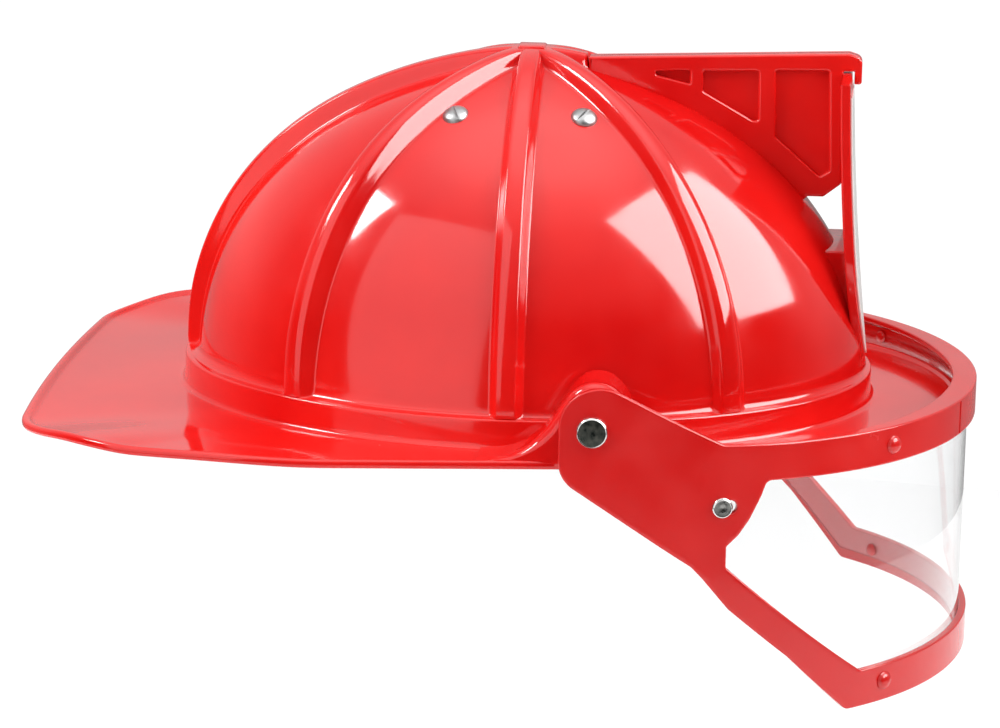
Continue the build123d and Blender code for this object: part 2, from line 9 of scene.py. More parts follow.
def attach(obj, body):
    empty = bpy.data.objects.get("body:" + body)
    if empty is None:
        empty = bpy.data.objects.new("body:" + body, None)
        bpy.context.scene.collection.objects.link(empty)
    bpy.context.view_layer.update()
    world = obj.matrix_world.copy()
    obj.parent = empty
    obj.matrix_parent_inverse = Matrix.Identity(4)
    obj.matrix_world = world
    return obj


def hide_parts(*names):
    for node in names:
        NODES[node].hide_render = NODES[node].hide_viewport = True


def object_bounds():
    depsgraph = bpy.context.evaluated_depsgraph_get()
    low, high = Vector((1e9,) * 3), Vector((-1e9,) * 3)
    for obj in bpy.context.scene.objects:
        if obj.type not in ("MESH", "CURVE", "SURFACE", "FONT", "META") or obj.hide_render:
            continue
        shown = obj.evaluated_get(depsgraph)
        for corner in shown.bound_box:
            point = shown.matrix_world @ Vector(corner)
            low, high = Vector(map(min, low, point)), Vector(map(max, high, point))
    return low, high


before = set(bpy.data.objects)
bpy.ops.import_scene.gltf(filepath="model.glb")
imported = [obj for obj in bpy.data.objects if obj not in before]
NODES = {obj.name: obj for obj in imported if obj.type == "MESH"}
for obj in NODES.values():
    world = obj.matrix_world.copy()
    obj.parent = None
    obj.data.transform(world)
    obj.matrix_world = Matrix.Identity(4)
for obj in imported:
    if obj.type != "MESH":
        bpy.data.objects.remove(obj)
CAD_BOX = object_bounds()
MM = 0.001


# ---------------------------------------------------------------- mesh tools
def smoothstep(t):
    t = np.clip(t, 0.0, 1.0)
    return t * t * (3 - 2 * t)


def add_piece(name, verts, faces, materials, body, nodes=(), angle=40):
    """A smooth-shaded mesh from points in millimetres, riding on a body and standing for CAD nodes."""
    mesh = bpy.data.meshes.new(name)
    mesh.from_pydata([tuple(float(c) * MM for c in v) for v in verts], [], [tuple(f) for f in faces])
    bm = bmesh.new()
    bm.from_mesh(mesh)
    bmesh.ops.remove_doubles(bm, verts=bm.verts, dist=2e-6)
    bmesh.ops.recalc_face_normals(bm, faces=bm.faces)
    bm.to_mesh(mesh)
    bm.free()
    return finish_piece(name, mesh, materials, body, nodes, angle)


def finish_piece(name, mesh, materials, body, nodes=(), angle=40):
    mesh.shade_smooth()
    mesh.set_sharp_from_angle(angle=radians(angle))
    piece = bpy.data.objects.new(name, mesh)
    bpy.context.scene.collection.objects.link(piece)
    for material in materials if isinstance(materials, (list, tuple)) else [materials]:
        mesh.materials.append(material)
    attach(piece, body)
    if nodes:
        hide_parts(*nodes)
    return piece


def grid_faces(rows, cols, wrap, start=0):
    faces = []
    for i in range(rows - 1):
        for j in range(cols if wrap else cols - 1):
            k = (j + 1) % cols
            a, b = start + i * cols + j, start + i * cols + k
            faces.append((a, b, b + cols, a + cols))
    return faces


class Parts:
    """Collects several closed shapes into one mesh."""

    def __init__(self):
        self.verts = []
        self.faces = []

    def add(self, verts, faces):
        shift = len(self.verts)
        self.verts.extend(verts)
        self.faces.extend([tuple(i + shift for i in f) for f in faces])

    def grid(self, points, wrap=False):
        rows, cols = len(points), len(points[0])
        self.add([p for row in points for p in row], grid_faces(rows, cols, wrap))

    def piece(self, name, materials, body, nodes=(), slot=None, angle=50):
        return add_piece(name, self.verts, self.faces, materials, body, nodes, angle)


def lathe(base, axis, profile, segments=64):
    """Points and faces of a turned shape: profile is (height, radius) along axis from base, in mm."""
    axis = Vector(axis).normalized()
    side = axis.orthogonal().normalized()
    other = axis.cross(side)
    base = Vector(base)
    verts = []
    for h, r in profile:
        for k in range(segments):
            t = 2 * pi * k / segments
            verts.append(base + axis * h + (side * cos(t) + other * sin(t)) * r)
    return verts, grid_faces(len(profile), segments, True)


def smooth_profile(points, steps=5):
    """A Catmull-Rom curve through points of any dimension."""
    points = [np.array(p, float) for p in points]
    padded = [2 * points[0] - points[1], *points, 2 * points[-1] - points[-2]]
    out = []
    for i in range(1, len(padded) - 2):
        p0, p1, p2, p3 = padded[i - 1 : i + 3]
        for k in range(steps):
            t = k / steps
            square = (2 * p0 - 5 * p1 + 4 * p2 - p3) * t**2
            cube = (3 * p1 - p0 - 3 * p2 + p3) * t**3
            out.append(0.5 * (2 * p1 + (p2 - p0) * t + square + cube))
    out.append(points[-1])
    return out


def rounded(corners, step=0.8):
    """A closed outline from (x, y, radius) corners, its arcs drawn as short chords."""
    out = []
    n = len(corners)
    for i in range(n):
        p = Vector(corners[i][:2])
        a = (Vector(corners[i - 1][:2]) - p).normalized()
        b = (Vector(corners[(i + 1) % n][:2]) - p).normalized()
        radius = corners[i][2]
        turn = a.angle(b)
        if radius <= 0 or turn > pi - 0.02:
            out.append((p.x, p.y))
            continue
        cut = radius / np.tan(turn / 2)
        centre = p + (a + b).normalized() * (radius / sin(turn / 2))
        start, end = p + a * cut, p + b * cut
        s, e = start - centre, end - centre
        sweep = s.angle_signed(e)
        count = max(3, int(abs(sweep) * radius / step) + 1)
        for k in range(count + 1):
            t = -sweep * k / count
            out.append((centre.x + s.x * cos(t) - s.y * sin(t), centre.y + s.x * sin(t) + s.y * cos(t)))
    return out


def rounded_rectangle(left, right, bottom, top, radius, step=0.8):
    corners = ((left, bottom), (right, bottom), (right, top), (left, top))
    return rounded([(*corner, radius) for corner in corners], step)


def resample(outline, step):
    """The same closed outline with no chord longer than step."""
    out = []
    for (x0, y0), (x1, y1) in zip(outline, outline[1:] + outline[:1]):
        count = max(1, int(hypot(x1 - x0, y1 - y0) / step))
        out.extend((x0 + (x1 - x0) * k / count, y0 + (y1 - y0) * k / count) for k in range(count))
    return out


def bisect(bm, place, normal):
    """Cuts every face of a bmesh along a plane and keeps both sides."""
    everything = bm.verts[:] + bm.edges[:] + bm.faces[:]
    bmesh.ops.bisect_plane(bm, geom=everything, dist=1e-5, plane_co=place, plane_no=normal)


def taken(bm):
    """The points and faces of a bmesh, which is then freed."""
    bm.verts.index_update()
    out = [v.co.copy() for v in bm.verts], [[v.index for v in f.verts] for f in bm.faces]
    bm.free()
    return out


def plate(outlines, thickness, edge, warp, cuts=(), resolution=2):
    """A flat moulding with rounded edges, cut from outlines (the rest are holes) and then warped.

    warp takes (u, v, t) and gives a place in mm.
    cuts are (direction, from, to, step) lines that let the plate bend."""
    curve = bpy.data.curves.new("outline", "CURVE")
    curve.dimensions = "2D"
    curve.fill_mode = "BOTH"
    for outline in outlines:
        spline = curve.splines.new("POLY")
        spline.points.add(len(outline) - 1)
        for point, (u, v) in zip(spline.points, outline):
            point.co = (u, v, 0, 1)
        spline.use_cyclic_u = True
    curve.extrude = thickness / 2 - edge
    curve.bevel_depth = edge
    curve.bevel_resolution = resolution
    curve.offset = -edge
    holder = bpy.data.objects.new("outline", curve)
    bpy.context.scene.collection.objects.link(holder)
    bpy.context.view_layer.update()
    mesh = bpy.data.meshes.new_from_object(holder.evaluated_get(bpy.context.evaluated_depsgraph_get()))
    bpy.data.objects.remove(holder)
    bpy.data.curves.remove(curve)
    bm = bmesh.new()
    bm.from_mesh(mesh)
    bpy.data.meshes.remove(mesh)
    bmesh.ops.remove_doubles(bm, verts=bm.verts, dist=1e-4)
    for direction, start, stop, step in cuts:
        for place in np.arange(start, stop, step):
            normal = Vector(direction)
            bisect(bm, normal * float(place), normal)
    points, faces = taken(bm)
    return [warp(*p) for p in points], faces


def bends(start, stop, step):
    """Cuts for a plate that bends along u."""
    return (((1, 0, 0), start, stop, step),)


def weighted(piece):
    """Flat faces keep flat shading right up to their rounded edges."""
    modifier = piece.modifiers.new("normals", "WEIGHTED_NORMAL")
    modifier.mode = "FACE_AREA"
    modifier.weight = 50
    modifier.keep_sharp = True


def rounded_box(low, high, radius, segments=4, skew=None):
    bm = bmesh.new()
    bmesh.ops.create_cube(bm, size=1)
    low, high = Vector(low), Vector(high)
    for v in bm.verts:
        v.co = Vector((low[i] if v.co[i] < 0 else high[i] for i in range(3)))
        if skew:
            v.co = skew(v.co)
    edges = bm.edges[:] + bm.verts[:]
    bmesh.ops.bevel(bm, geom=edges, offset=radius, segments=segments, profile=0.5, affect="EDGES")
    return taken(bm)


# ---------------------------------------------------------------- materials
def new_material(name):
    material = bpy.data.materials.new(name)
    material.use_nodes = True
    nodes = material.node_tree.nodes
    shader = nodes["Principled BSDF"]
    return material, nodes, material.node_tree.links, shader


def put(node, **values):
    """Sets a node's inputs, each named with _ for a space."""
    for name, value in values.items():
        node.inputs[name.replace("_", " ")].default_value = value


def noise(nodes, links, scale, detail=3.0, source="Object", roughness=0.5):
    where = nodes.new("ShaderNodeTexCoord")
    texture = nodes.new("ShaderNodeTexNoise")
    put(texture, Scale=scale, Detail=detail, Roughness=roughness)
    links.new(where.outputs[source], texture.inputs["Vector"])
    return texture


def ramp(nodes, links, source, stops):
    node = nodes.new("ShaderNodeValToRGB")
    elements = node.color_ramp.elements
    while len(elements) < len(stops):
        elements.new(0.5)
    for element, (place, colour) in zip(elements, stops):
        element.position = place
        element.color = (*colour, 1.0) if len(colour) == 3 else colour
    links.new(source, node.inputs["Fac"])
    return node


def ramped(nodes, links, source, stops, target):
    """Links a colour ramp on source to target."""
    links.new(ramp(nodes, links, source, stops).outputs["Color"], target)


def combine(nodes, links, operation, first, second):
    """The output of a math node on two sockets."""
    node = nodes.new("ShaderNodeMath")
    node.operation = operation
    links.new(first, node.inputs[0])
    links.new(second, node.inputs[1])
    return node.outputs["Value"]


def bump(nodes, links, height, strength, distance, below=None):
    node = nodes.new("ShaderNodeBump")
    put(node, Strength=strength, Distance=distance)
    links.new(height, node.inputs["Height"])
    if below is not None:
        links.new(below.outputs["Normal"], node.inputs["Normal"])
    return node


def grey(v):
    return (v, v, v)


def red_plastic(name, deep=(0.66, 0.006, 0.006), bright=(0.82, 0.014, 0.010), roughness=(0.07, 0.17)):
    """Glossy moulded plastic: slow colour drift, faint flow waves, fine dust specks and a fine grain on its
    skin.
    """
    material, nodes, links, shader = new_material(name)
    drift = noise(nodes, links, 14.0, 3.0)
    colour = ramp(nodes, links, drift.outputs["Fac"], [(0.30, deep), (0.70, bright)])
    dust = nodes.new("ShaderNodeTexVoronoi")
    put(dust, Scale=70.0)
    links.new(drift.inputs["Vector"].links[0].from_socket, dust.inputs["Vector"])
    speck = ramp(nodes, links, dust.outputs["Distance"], [(0.022, grey(1.0)), (0.04, grey(0.0))])
    pick = noise(nodes, links, 33.0, 0.0)
    some = ramp(nodes, links, pick.outputs["Fac"], [(0.66, grey(0.0)), (0.68, grey(1.0))])
    both = combine(nodes, links, "MULTIPLY", speck.outputs["Color"], some.outputs["Color"])
    mix = nodes.new("ShaderNodeMix")
    mix.data_type = "RGBA"
    put(mix, B=(0.95, 0.30, 0.26, 1))
    links.new(both, mix.inputs["Factor"])
    links.new(colour.outputs["Color"], mix.inputs["A"])
    links.new(mix.outputs["Result"], shader.inputs["Base Color"])
    haze = noise(nodes, links, 55.0, 5.0)
    stops = [(0.35, grey(roughness[0])), (0.75, grey(roughness[1]))]
    ramped(nodes, links, haze.outputs["Fac"], stops, shader.inputs["Roughness"])
    waves = noise(nodes, links, 9.0, 2.0)
    slow = bump(nodes, links, waves.outputs["Fac"], 0.25, 0.0012)
    fine = noise(nodes, links, 420.0, 2.0)
    skin = bump(nodes, links, fine.outputs["Fac"], 0.04, 0.0001, slow)
    links.new(skin.outputs["Normal"], shader.inputs["Normal"])
    put(shader, IOR=1.5, Coat_Weight=0.25, Coat_Roughness=0.04)
    return material


def clouded(nodes, links, texture, start, low, high, roughness, shader):
    """Gives a shader a colour and a roughness that both drift with a texture."""
    amount = texture.outputs["Fac"]
    ramped(nodes, links, amount, [(start, low), (1 - start, high)], shader.inputs["Base Color"])
    stops = [(0.3, grey(roughness[0])), (0.7, grey(roughness[1]))]
    ramped(nodes, links, amount, stops, shader.inputs["Roughness"])


def grained(nodes, links, scale, strength, depth, shader):
    """Gives a shader a fine raised grain."""
    grain = noise(nodes, links, scale, 3.0)
    node = bump(nodes, links, grain.outputs["Fac"], strength, depth)
    links.new(node.outputs["Normal"], shader.inputs["Normal"])


def steel(name, low, high, roughness=(0.18, 0.38), scale=600.0, pits=0.25):
    """Plated steel: cloudy tone and a fine grain of small pits."""
    material, nodes, links, shader = new_material(name)
    cloud = noise(nodes, links, scale, 6.0, roughness=0.65)
    clouded(nodes, links, cloud, 0.32, low, high, roughness, shader)
    grained(nodes, links, scale * 2.7, pits, 0.00008, shader)
    put(shader, Metallic=1.0)
    return material


def moulded(name, low, high, roughness=(0.42, 0.62), scale=900.0, strength=0.35):
    """Matt moulded plastic with a fine spark-eroded grain."""
    material, nodes, links, shader = new_material(name)
    drift = noise(nodes, links, 25.0, 4.0)
    clouded(nodes, links, drift, 0.3, low, high, roughness, shader)
    grained(nodes, links, scale, strength, 0.00012, shader)
    return material


def clear_sheet(name):
    """Clear plastic sheet with faint rubbed marks, which lets light through to what lies behind it."""
    material, nodes, links, shader = new_material(name)
    rub = noise(nodes, links, 30.0, 6.0, roughness=0.7)
    stops = [(0.45, grey(0.0)), (0.85, grey(0.05))]
    ramped(nodes, links, rub.outputs["Fac"], stops, shader.inputs["Roughness"])
    tints = [(0.2, (0.975, 0.98, 0.985)), (0.8, grey(0.99))]
    ramped(nodes, links, rub.outputs["Fac"], tints, shader.inputs["Base Color"])
    put(shader, Transmission_Weight=1.0, IOR=1.46)
    path = nodes.new("ShaderNodeLightPath")
    through = nodes.new("ShaderNodeBsdfTransparent")
    put(through, Color=(0.93, 0.93, 0.93, 1))
    either = combine(nodes, links, "MAXIMUM", path.outputs["Is Shadow Ray"], path.outputs["Is Diffuse Ray"])
    mix = nodes.new("ShaderNodeMixShader")
    links.new(either, mix.inputs["Fac"])
    links.new(shader.outputs["BSDF"], mix.inputs[1])
    links.new(through.outputs["BSDF"], mix.inputs[2])
    links.new(mix.outputs["Shader"], nodes["Material Output"].inputs["Surface"])
    return material


def woven(name, low, high):
    """Close-woven cloth over foam."""
    material, nodes, links, shader = new_material(name)
    where = nodes.new("ShaderNodeTexCoord")
    heights = []
    for direction in ("X", "Z"):
        wave = nodes.new("ShaderNodeTexWave")
        wave.wave_type = "BANDS"
        wave.bands_direction = direction
        put(wave, Scale=420.0, Distortion=0.6, Detail=1.0)
        links.new(where.outputs["Object"], wave.inputs["Vector"])
        heights.append(wave.outputs["Fac"])
    weave = combine(nodes, links, "MAXIMUM", *heights)
    ramped(nodes, links, weave, [(0.2, low), (0.9, high)], shader.inputs["Base Color"])
    node = bump(nodes, links, weave, 0.6, 0.0003)
    links.new(node.outputs["Normal"], shader.inputs["Normal"])
    put(shader, Roughness=0.9, Sheen_Weight=0.4)
    return material


RED = red_plastic("red_shell")
RED_VISOR = red_plastic("red_visor", (0.60, 0.006, 0.006), (0.74, 0.012, 0.009), roughness=(0.16, 0.28))
RED_SHIELD = red_plastic("red_shield", roughness=(0.12, 0.22))
WHITE = moulded("shield_white", (0.88, 0.88, 0.86), (0.93, 0.93, 0.91), (0.18, 0.30), 300.0, 0.1)
CLEAR = clear_sheet("visor_clear")
DARK_STEEL = steel("rivet_face", (0.025, 0.032, 0.028), (0.11, 0.11, 0.095), (0.22, 0.45), scale=520.0)
GREY_STEEL = steel("small_rivet_face", (0.16, 0.16, 0.155), (0.42, 0.42, 0.40), (0.2, 0.4), scale=420.0)
BRIGHT_STEEL = steel("bright_steel", (0.62, 0.61, 0.60), (0.80, 0.79, 0.78), (0.10, 0.22), pits=0.12)
ZINC = steel("zinc_screw", grey(0.30), grey(0.42), (0.34, 0.46), scale=500.0, pits=0.2)
NYLON = moulded("nylon_spacer", (0.70, 0.68, 0.62), (0.80, 0.78, 0.72))
BLACK = moulded("black_band", (0.018, 0.018, 0.020), (0.034, 0.034, 0.036))
CLOTH = woven("brow_cloth", (0.030, 0.030, 0.034), (0.085, 0.085, 0.09))

# ---------------------------------------------------------------- shell
PANEL = (86.5, 117.5, 101.0)  # half axes of the dome's panels
REAR_PANEL = 115.0  # half length of the panels behind the crown
RIB = (91.0, 120.5, 106.5)  # half axes of the tops of the ribs
WALL_THICKNESS = 2.5
RIB_ANGLES = [0, 46.6, 90, 133.4, 180, 226.6, 270, 313.4]
FRONT_RIB_END = 19.3  # the front rib gives way to the bracket
RING = (90, 120)  # half axes of the base ring and skirt
BRIM_TOP = -9.5
BEAD_TOP = -8.3
BRIM_BOTTOM = -11.2
BOSS_FACE = 105.5
BOSS_FOOT = BRIM_BOTTOM + 0.06
PIVOT = (-29.7, 3.0)


def tangent_arc(start, tangent, end, count=60):
    """Points of the arc from start along tangent to end, and the direction it ends in."""
    start, tangent, end = np.array(start, float), np.array(tangent, float), np.array(end, float)
    tangent /= np.linalg.norm(tangent)
    normal = np.array([-tangent[1], tangent[0]])
    chord = end - start
    radius = chord @ chord / (2 * chord @ normal)
    centre = start + normal * radius
    a0 = atan2(*(start - centre)[::-1])
    a1 = atan2(*(end - centre)[::-1])
    if radius > 0 and a1 < a0:
        a1 += 2 * pi
    if radius < 0 and a1 > a0:
        a1 -= 2 * pi
    angles = np.linspace(a0, a1, count)
    points = centre + abs(radius) * np.stack([np.cos(angles), np.sin(angles)], 1)
    last = np.array([-sin(a1), cos(a1)]) * (1 if radius > 0 else -1)
    return points, last


def brim_outline():
    """The brim's edge as polar samples: angle, radius and outward normal, all round."""
    parts = []
    place, way = (0, -152.3), (1, 0)
    for corner in ((71.5, -118), (102.2, -45)):
        points, way = tangent_arc(place, way, corner)
        parts.append(points)
        place = points[-1]
    side = place + way * 104
    parts.append(np.linspace(place, side, 60))
    place = side
    for corner in ((112.8, 120), (104.3, 140), (83, 160), (70, 164.7)):
        points, way = tangent_arc(place, way, corner)
        parts.append(points)
        place = points[-1]
    points, way = tangent_arc((0, 167.5), (1, 0), (70, 164.7))
    parts.append(points[::-1])
    left = np.concatenate([p[(0 if i == 0 else 1):] for i, p in enumerate(parts)])
    right = left[::-1] * np.array([-1, 1])
    whole = np.concatenate([left, right[1:-1]])
    ahead = np.roll(whole, -1, 0) - np.roll(whole, 1, 0)
    normal = np.stack([ahead[:, 1], -ahead[:, 0]], 1)
    normal /= np.linalg.norm(normal, axis=1)[:, None]
    angle = np.arctan2(whole[:, 1], whole[:, 0])
    order = np.argsort(angle)
    return angle[order], np.hypot(whole[:, 0], whole[:, 1])[order], normal[order]


OUTLINE = brim_outline()


def brim_edge(plan):
    """(place, normal) of the brim's edge straight out from the centre through plan points (n, 2)."""
    angle = np.arctan2(plan[:, 1], plan[:, 0])
    table, radius, normal = OUTLINE
    r = np.interp(angle, table, radius, period=2 * pi)
    n = np.stack([np.interp(angle, table, normal[:, k], period=2 * pi) for k in range(2)], 1)
    n /= np.linalg.norm(n, axis=1)[:, None]
    return np.stack([np.cos(angle), np.sin(angle)], 1) * r[:, None], n


def soft_clip(t, e):
    """Clamps t between 0 and 1 with corners rounded over e either side."""
    low = np.where(t < -e, 0.0, np.where(t < e, (t + e) ** 2 / (4 * e), t))
    high = 1 - low
    return 1 - np.where(high < -e, 0.0, np.where(high < e, (high + e) ** 2 / (4 * e), high))


def rib_halves(along):
    """Half widths of a rib's flat top and of its foot."""
    f = np.clip(along / 115.0, 0, 1)
    return 3.0 + 0.2 * f, 4.7 + 1.0 * f


def panel_length(y):
    return np.where(y > 0, REAR_PANEL, PANEL[1])


def rib_weight(x, y):
    """How much of the rib's height a plan point gets, from 0 on a panel to about 1 on a rib's crowned top."""
    best = np.zeros_like(x)
    for angle in RIB_ANGLES:
        c, s = cos(radians(angle)), sin(radians(angle))
        along = x * c + y * s
        across = np.abs(-x * s + y * c)
        top, foot = rib_halves(along)
        corner = 0.17 + 0.26 * (1 - smoothstep(along / 70.0))
        weight = soft_clip((foot - across) / (foot - top), corner)
        round_top = (0.05 if angle % 90 == 0 else 0.15) * smoothstep(along / 30.0)
        weight = weight * (1 - round_top * np.clip(across / top, 0, 1) ** 2)
        weight = np.where(along < 0, 0, weight)
        if angle == 270:
            weight = weight * (1 - smoothstep((along - FRONT_RIB_END + 0.6) / 0.6))
        best = np.maximum(best, weight)
    return best


def ellipse_angle(degrees):
    t = radians(degrees)
    return atan2(PANEL[0] * sin(t), PANEL[1] * cos(t)) % (2 * pi)


def shell_columns(phi):
    """The ellipse angle of each mesh column on one row, with columns along every rib edge."""
    a, b = PANEL[0] * sin(phi), PANEL[1] * sin(phi)
    count = len(RIB_ANGLES)
    following = [*RIB_ANGLES[1:], RIB_ANGLES[0] + 360]
    centres = [ellipse_angle(angle) for angle in RIB_ANGLES]
    middles = [ellipse_angle((low + high) / 2) for low, high in zip(RIB_ANGLES, following)]
    out = []
    for k, angle in enumerate(RIB_ANGLES):
        t = radians(angle)
        reach = sqrt((a * sin(t)) ** 2 + (b * cos(t)) ** 2)
        top, foot = rib_halves(np.array(hypot(a * cos(centres[k]), b * sin(centres[k]))))
        side = [0.45 * top, *[top + d for d in (-0.5, -0.2, 0.1, 0.4)], 0.5 * (top + foot)]
        side += [foot + d for d in (-0.5, -0.2, 0.1, 0.4, 0.9)]
        offsets = sorted([-e for e in side] + [0.0] + side)
        low = middles[k - 1] - (2 * pi if middles[k - 1] > centres[k] else 0)
        high = middles[k] + (2 * pi if middles[k] < centres[k] else 0)
        rib = [centres[k] + asin(max(-1.0, min(1.0, s / reach))) for s in offsets]
        rib = [min(max(v, low), high) for v in rib]
        out.append(rib)
    row = []
    between = 36
    for k in range(count):
        row.extend(out[k])
        start = out[k][-1]
        stop = out[(k + 1) % count][0]
        if stop < start - 1e-9:
            stop += 2 * pi
        row.extend(start + (stop - start) * j / (between + 1) for j in range(1, between + 1))
    return np.array(row)


def brim_lift(edge):
    """The rear quarters of the brim sweep up a little before its tail turns down."""
    y = edge[:, 1]
    rise = 1.4 * smoothstep((y - 55) / 50) + 0.8 * smoothstep((y - 118) / 20)
    rise = rise * (1 - smoothstep((y - 140) / 26))
    return rise - 0.9 * smoothstep((y - 145) / 22)


def shell_rows():
    rows = []
    steps = np.concatenate([np.radians([1.2, 2.0, 2.8]), np.radians(np.arange(3.5, 87.9, 0.62))])
    for phi in steps:
        theta = shell_columns(phi)
        x = PANEL[0] * sin(phi) * np.cos(theta)
        y = PANEL[1] * sin(phi) * np.sin(theta)
        weight = rib_weight(x, y)
        height = PANEL[2] * cos(phi)
        low = 1 - float(smoothstep(np.array(height / 24.0)))
        reach = np.hypot(x, y)
        hub = RIB[2] + 3.0 * np.exp(-((reach / 38.0) ** 2))
        crown = PANEL[2] + 3.4 * np.exp(-((reach / 26.0) ** 2)) + 1.2 * np.exp(-((reach / 62.0) ** 2))
        length = panel_length(y)
        swell = 1 + sin(2 * phi) ** 2 * smoothstep(y / 40.0) * (0.008 + 0.010 * weight)
        rows.append(np.stack([
            (PANEL[0] + weight * (RIB[0] - 1.0 * low - PANEL[0])) * swell * sin(phi) * np.cos(theta),
            (length + weight * (RIB[1] - 0.6 * low - length)) * swell * sin(phi) * np.sin(theta),
            (crown + weight * (hub - crown)) * swell * cos(phi),
        ], 1))
    base = rows[-1]
    ring = np.stack([RING[0] * np.cos(theta), RING[1] * np.sin(theta)], 1)
    out = np.stack([np.cos(theta) / RING[0], np.sin(theta) / RING[1]], 1)
    out /= np.linalg.norm(out, axis=1)[:, None]

    def level(plan, z):
        rows.append(np.column_stack([plan, np.full(len(plan), z) if np.ndim(z) == 0 else z]))

    for t, z in ((0.03, 3.2), (0.10, 2.4), (0.24, 1.6), (0.46, 1.05), (0.75, 0.78)):
        level(base[:, :2] + (ring - out * 0.8 - base[:, :2]) * t, z)
    shoulder = ((-0.8, 0.66), (-0.45, 0.55), (-0.2, 0.36), (-0.05, 0.1), (0.0, -0.25))
    skirt = ((0.02, -1.0), (0.06, -3.0), (0.1, -5.0), (0.15, -7.0))
    fillet = ((0.2, -7.7), (0.35, -8.4), (0.7, -8.95), (1.2, -9.3), (1.9, -9.46), (2.8, BRIM_TOP))
    for off, z in (*shoulder, *skirt, *fillet):
        level(ring + out * off, z)
    edge, way = brim_edge(ring)
    inner, outer = ring + out * 2.8, edge - way * 4.3
    lift = brim_lift(edge)
    for t in (0.15, 0.35, 0.55, 0.75, 0.92, 1.0):
        level(inner + (outer - inner) * t, BRIM_TOP + lift * float(smoothstep(np.array(t))))
    rise = ((-3.9, -9.46), (-3.5, -9.3), (-3.15, -9.0), (-2.8, -8.65), (-2.4, -8.42))
    bead = ((-1.9, BEAD_TOP), (-1.3, BEAD_TOP), (-0.8, -8.4), (-0.4, -8.62), (-0.12, -9.0), (-0.02, -9.45))
    hem = ((-0.02, -10.3), (-0.1, -10.7), (-0.3, -11.0), (-0.65, -11.17), (-1.0, BRIM_BOTTOM))
    for off, z in (*rise, *bead, *hem):
        level(edge + way * off, z + lift)
    inner = ring - out * 1.9
    outer = edge - way * 1.0
    for t in (0.03, 0.2, 0.4, 0.6, 0.8, 0.97, 1.0):
        level(outer + (inner - outer) * t, BRIM_BOTTOM + lift * float(smoothstep(np.array(1 - t))))
    for off, z in ((-2.2, -11.1), (-2.45, -10.8), (-2.5, -10.3), (-2.5, -7.0), (-2.5, -3.0), (-2.6, 0.0)):
        level(ring + out * off, z)
    for phi in np.radians(np.arange(89.5, 1.0, -2.5)):
        rows.append(np.stack([
            (PANEL[0] - WALL_THICKNESS) * sin(phi) * np.cos(theta),
            (panel_length(np.sin(theta)) - WALL_THICKNESS) * sin(phi) * np.sin(theta),
            np.full(len(theta), (PANEL[2] - WALL_THICKNESS) * cos(phi)),
        ], 1))
    return rows


def in_boss(x, y, z):
    """Inside the foot of a pivot boss, where the brim is open underneath."""
    rim = y > -19.0 and abs(x) > 103.0
    return -49.6 < y < -7.0 and 90.4 < abs(x) and z < -7.5 and not rim


def boss_parts(parts, side):
    """A hollow arch swept up from the brim's edge, open below, for the visor's pivot."""
    rear = [(8, -8.6), (3, -8.3), (-3.1, -7.1), (-9.0, -4.0), (-14.0, 0.8), (-16.9, 4.8), (-19.9, 9.6)]
    top = [(-22.8, 13.8), (-26.2, 16.4), (-30.6, 17.2), (-35.0, 16.0), (-38.6, 12.6), (-41.4, 8.2)]
    front = [(-44.2, 3.6), (-47.8, -1.4), (-52.6, -5.4), (-58.0, -7.7), (-64.0, -8.6)]
    path = np.array(smooth_profile(rear + top + front))
    ahead = np.gradient(path, axis=0)
    normal = np.stack([-ahead[:, 1], ahead[:, 0]], 1)
    normal /= np.linalg.norm(normal, axis=1)[:, None]
    if normal[len(normal) // 2][1] < 0:
        normal = -normal
    rows = []

    def row(points, x):
        rows.append([(side * xx, p[0], p[1]) for p, xx in zip(points, np.broadcast_to(x, len(points)))])

    hem = np.where(path[:, 0] > -14, 105.9 + 0.12 * (path[:, 0] + 14) - 0.12, BOSS_FACE)
    lip = 0.5 * smoothstep((path[:, 1] + 8.0) / 6.0)
    for x, raised in ((84.0, 0), (95.0, 0), (98.6, 0), (99.6, 0.2), (100.4, 0.7), (101.2, 1.0)):
        row(path + normal * (lip * raised)[:, None], x)
    turn = 1.2 + 1.9 * smoothstep((path[:, 1] + 8.0) / 8.0)
    for t in np.linspace(0, pi / 2, 9):
        row(path + normal * (lip - turn * (1 - cos(t)))[:, None], BOSS_FACE - 3.3 * (1 - sin(t)))
    face = path + normal * (lip - turn)[:, None]
    for t in (0.12, 0.3, 0.5, 0.7, 0.85, 0.96):
        low = np.minimum(face[:, 1], BOSS_FOOT + 0.4)
        down = np.stack([face[:, 0], face[:, 1] + (low - face[:, 1]) * t], 1)
        row(down, BOSS_FACE + (hem - BOSS_FACE) * t**3)
    low = np.minimum(face[:, 1], BOSS_FOOT + 0.2)
    row(np.stack([face[:, 0], low], 1), hem - 0.25)
    foot = np.stack([face[:, 0], np.full(len(face), BOSS_FOOT)], 1)
    row(foot, hem - 0.7)
    row(foot, BOSS_FACE - 2.5)
    under = path - normal * 3.3
    under[:, 1] = np.maximum(under[:, 1], BOSS_FOOT)
    for t in (0.3, 0.6, 0.9, 1.0):
        row(np.stack([under[:, 0], BOSS_FOOT + (under[:, 1] - BOSS_FOOT) * t], 1), BOSS_FACE - 2.5)
    row(under, 95.0)
    row(under, 84.0)
    rows.append(rows[0])
    parts.grid(rows)


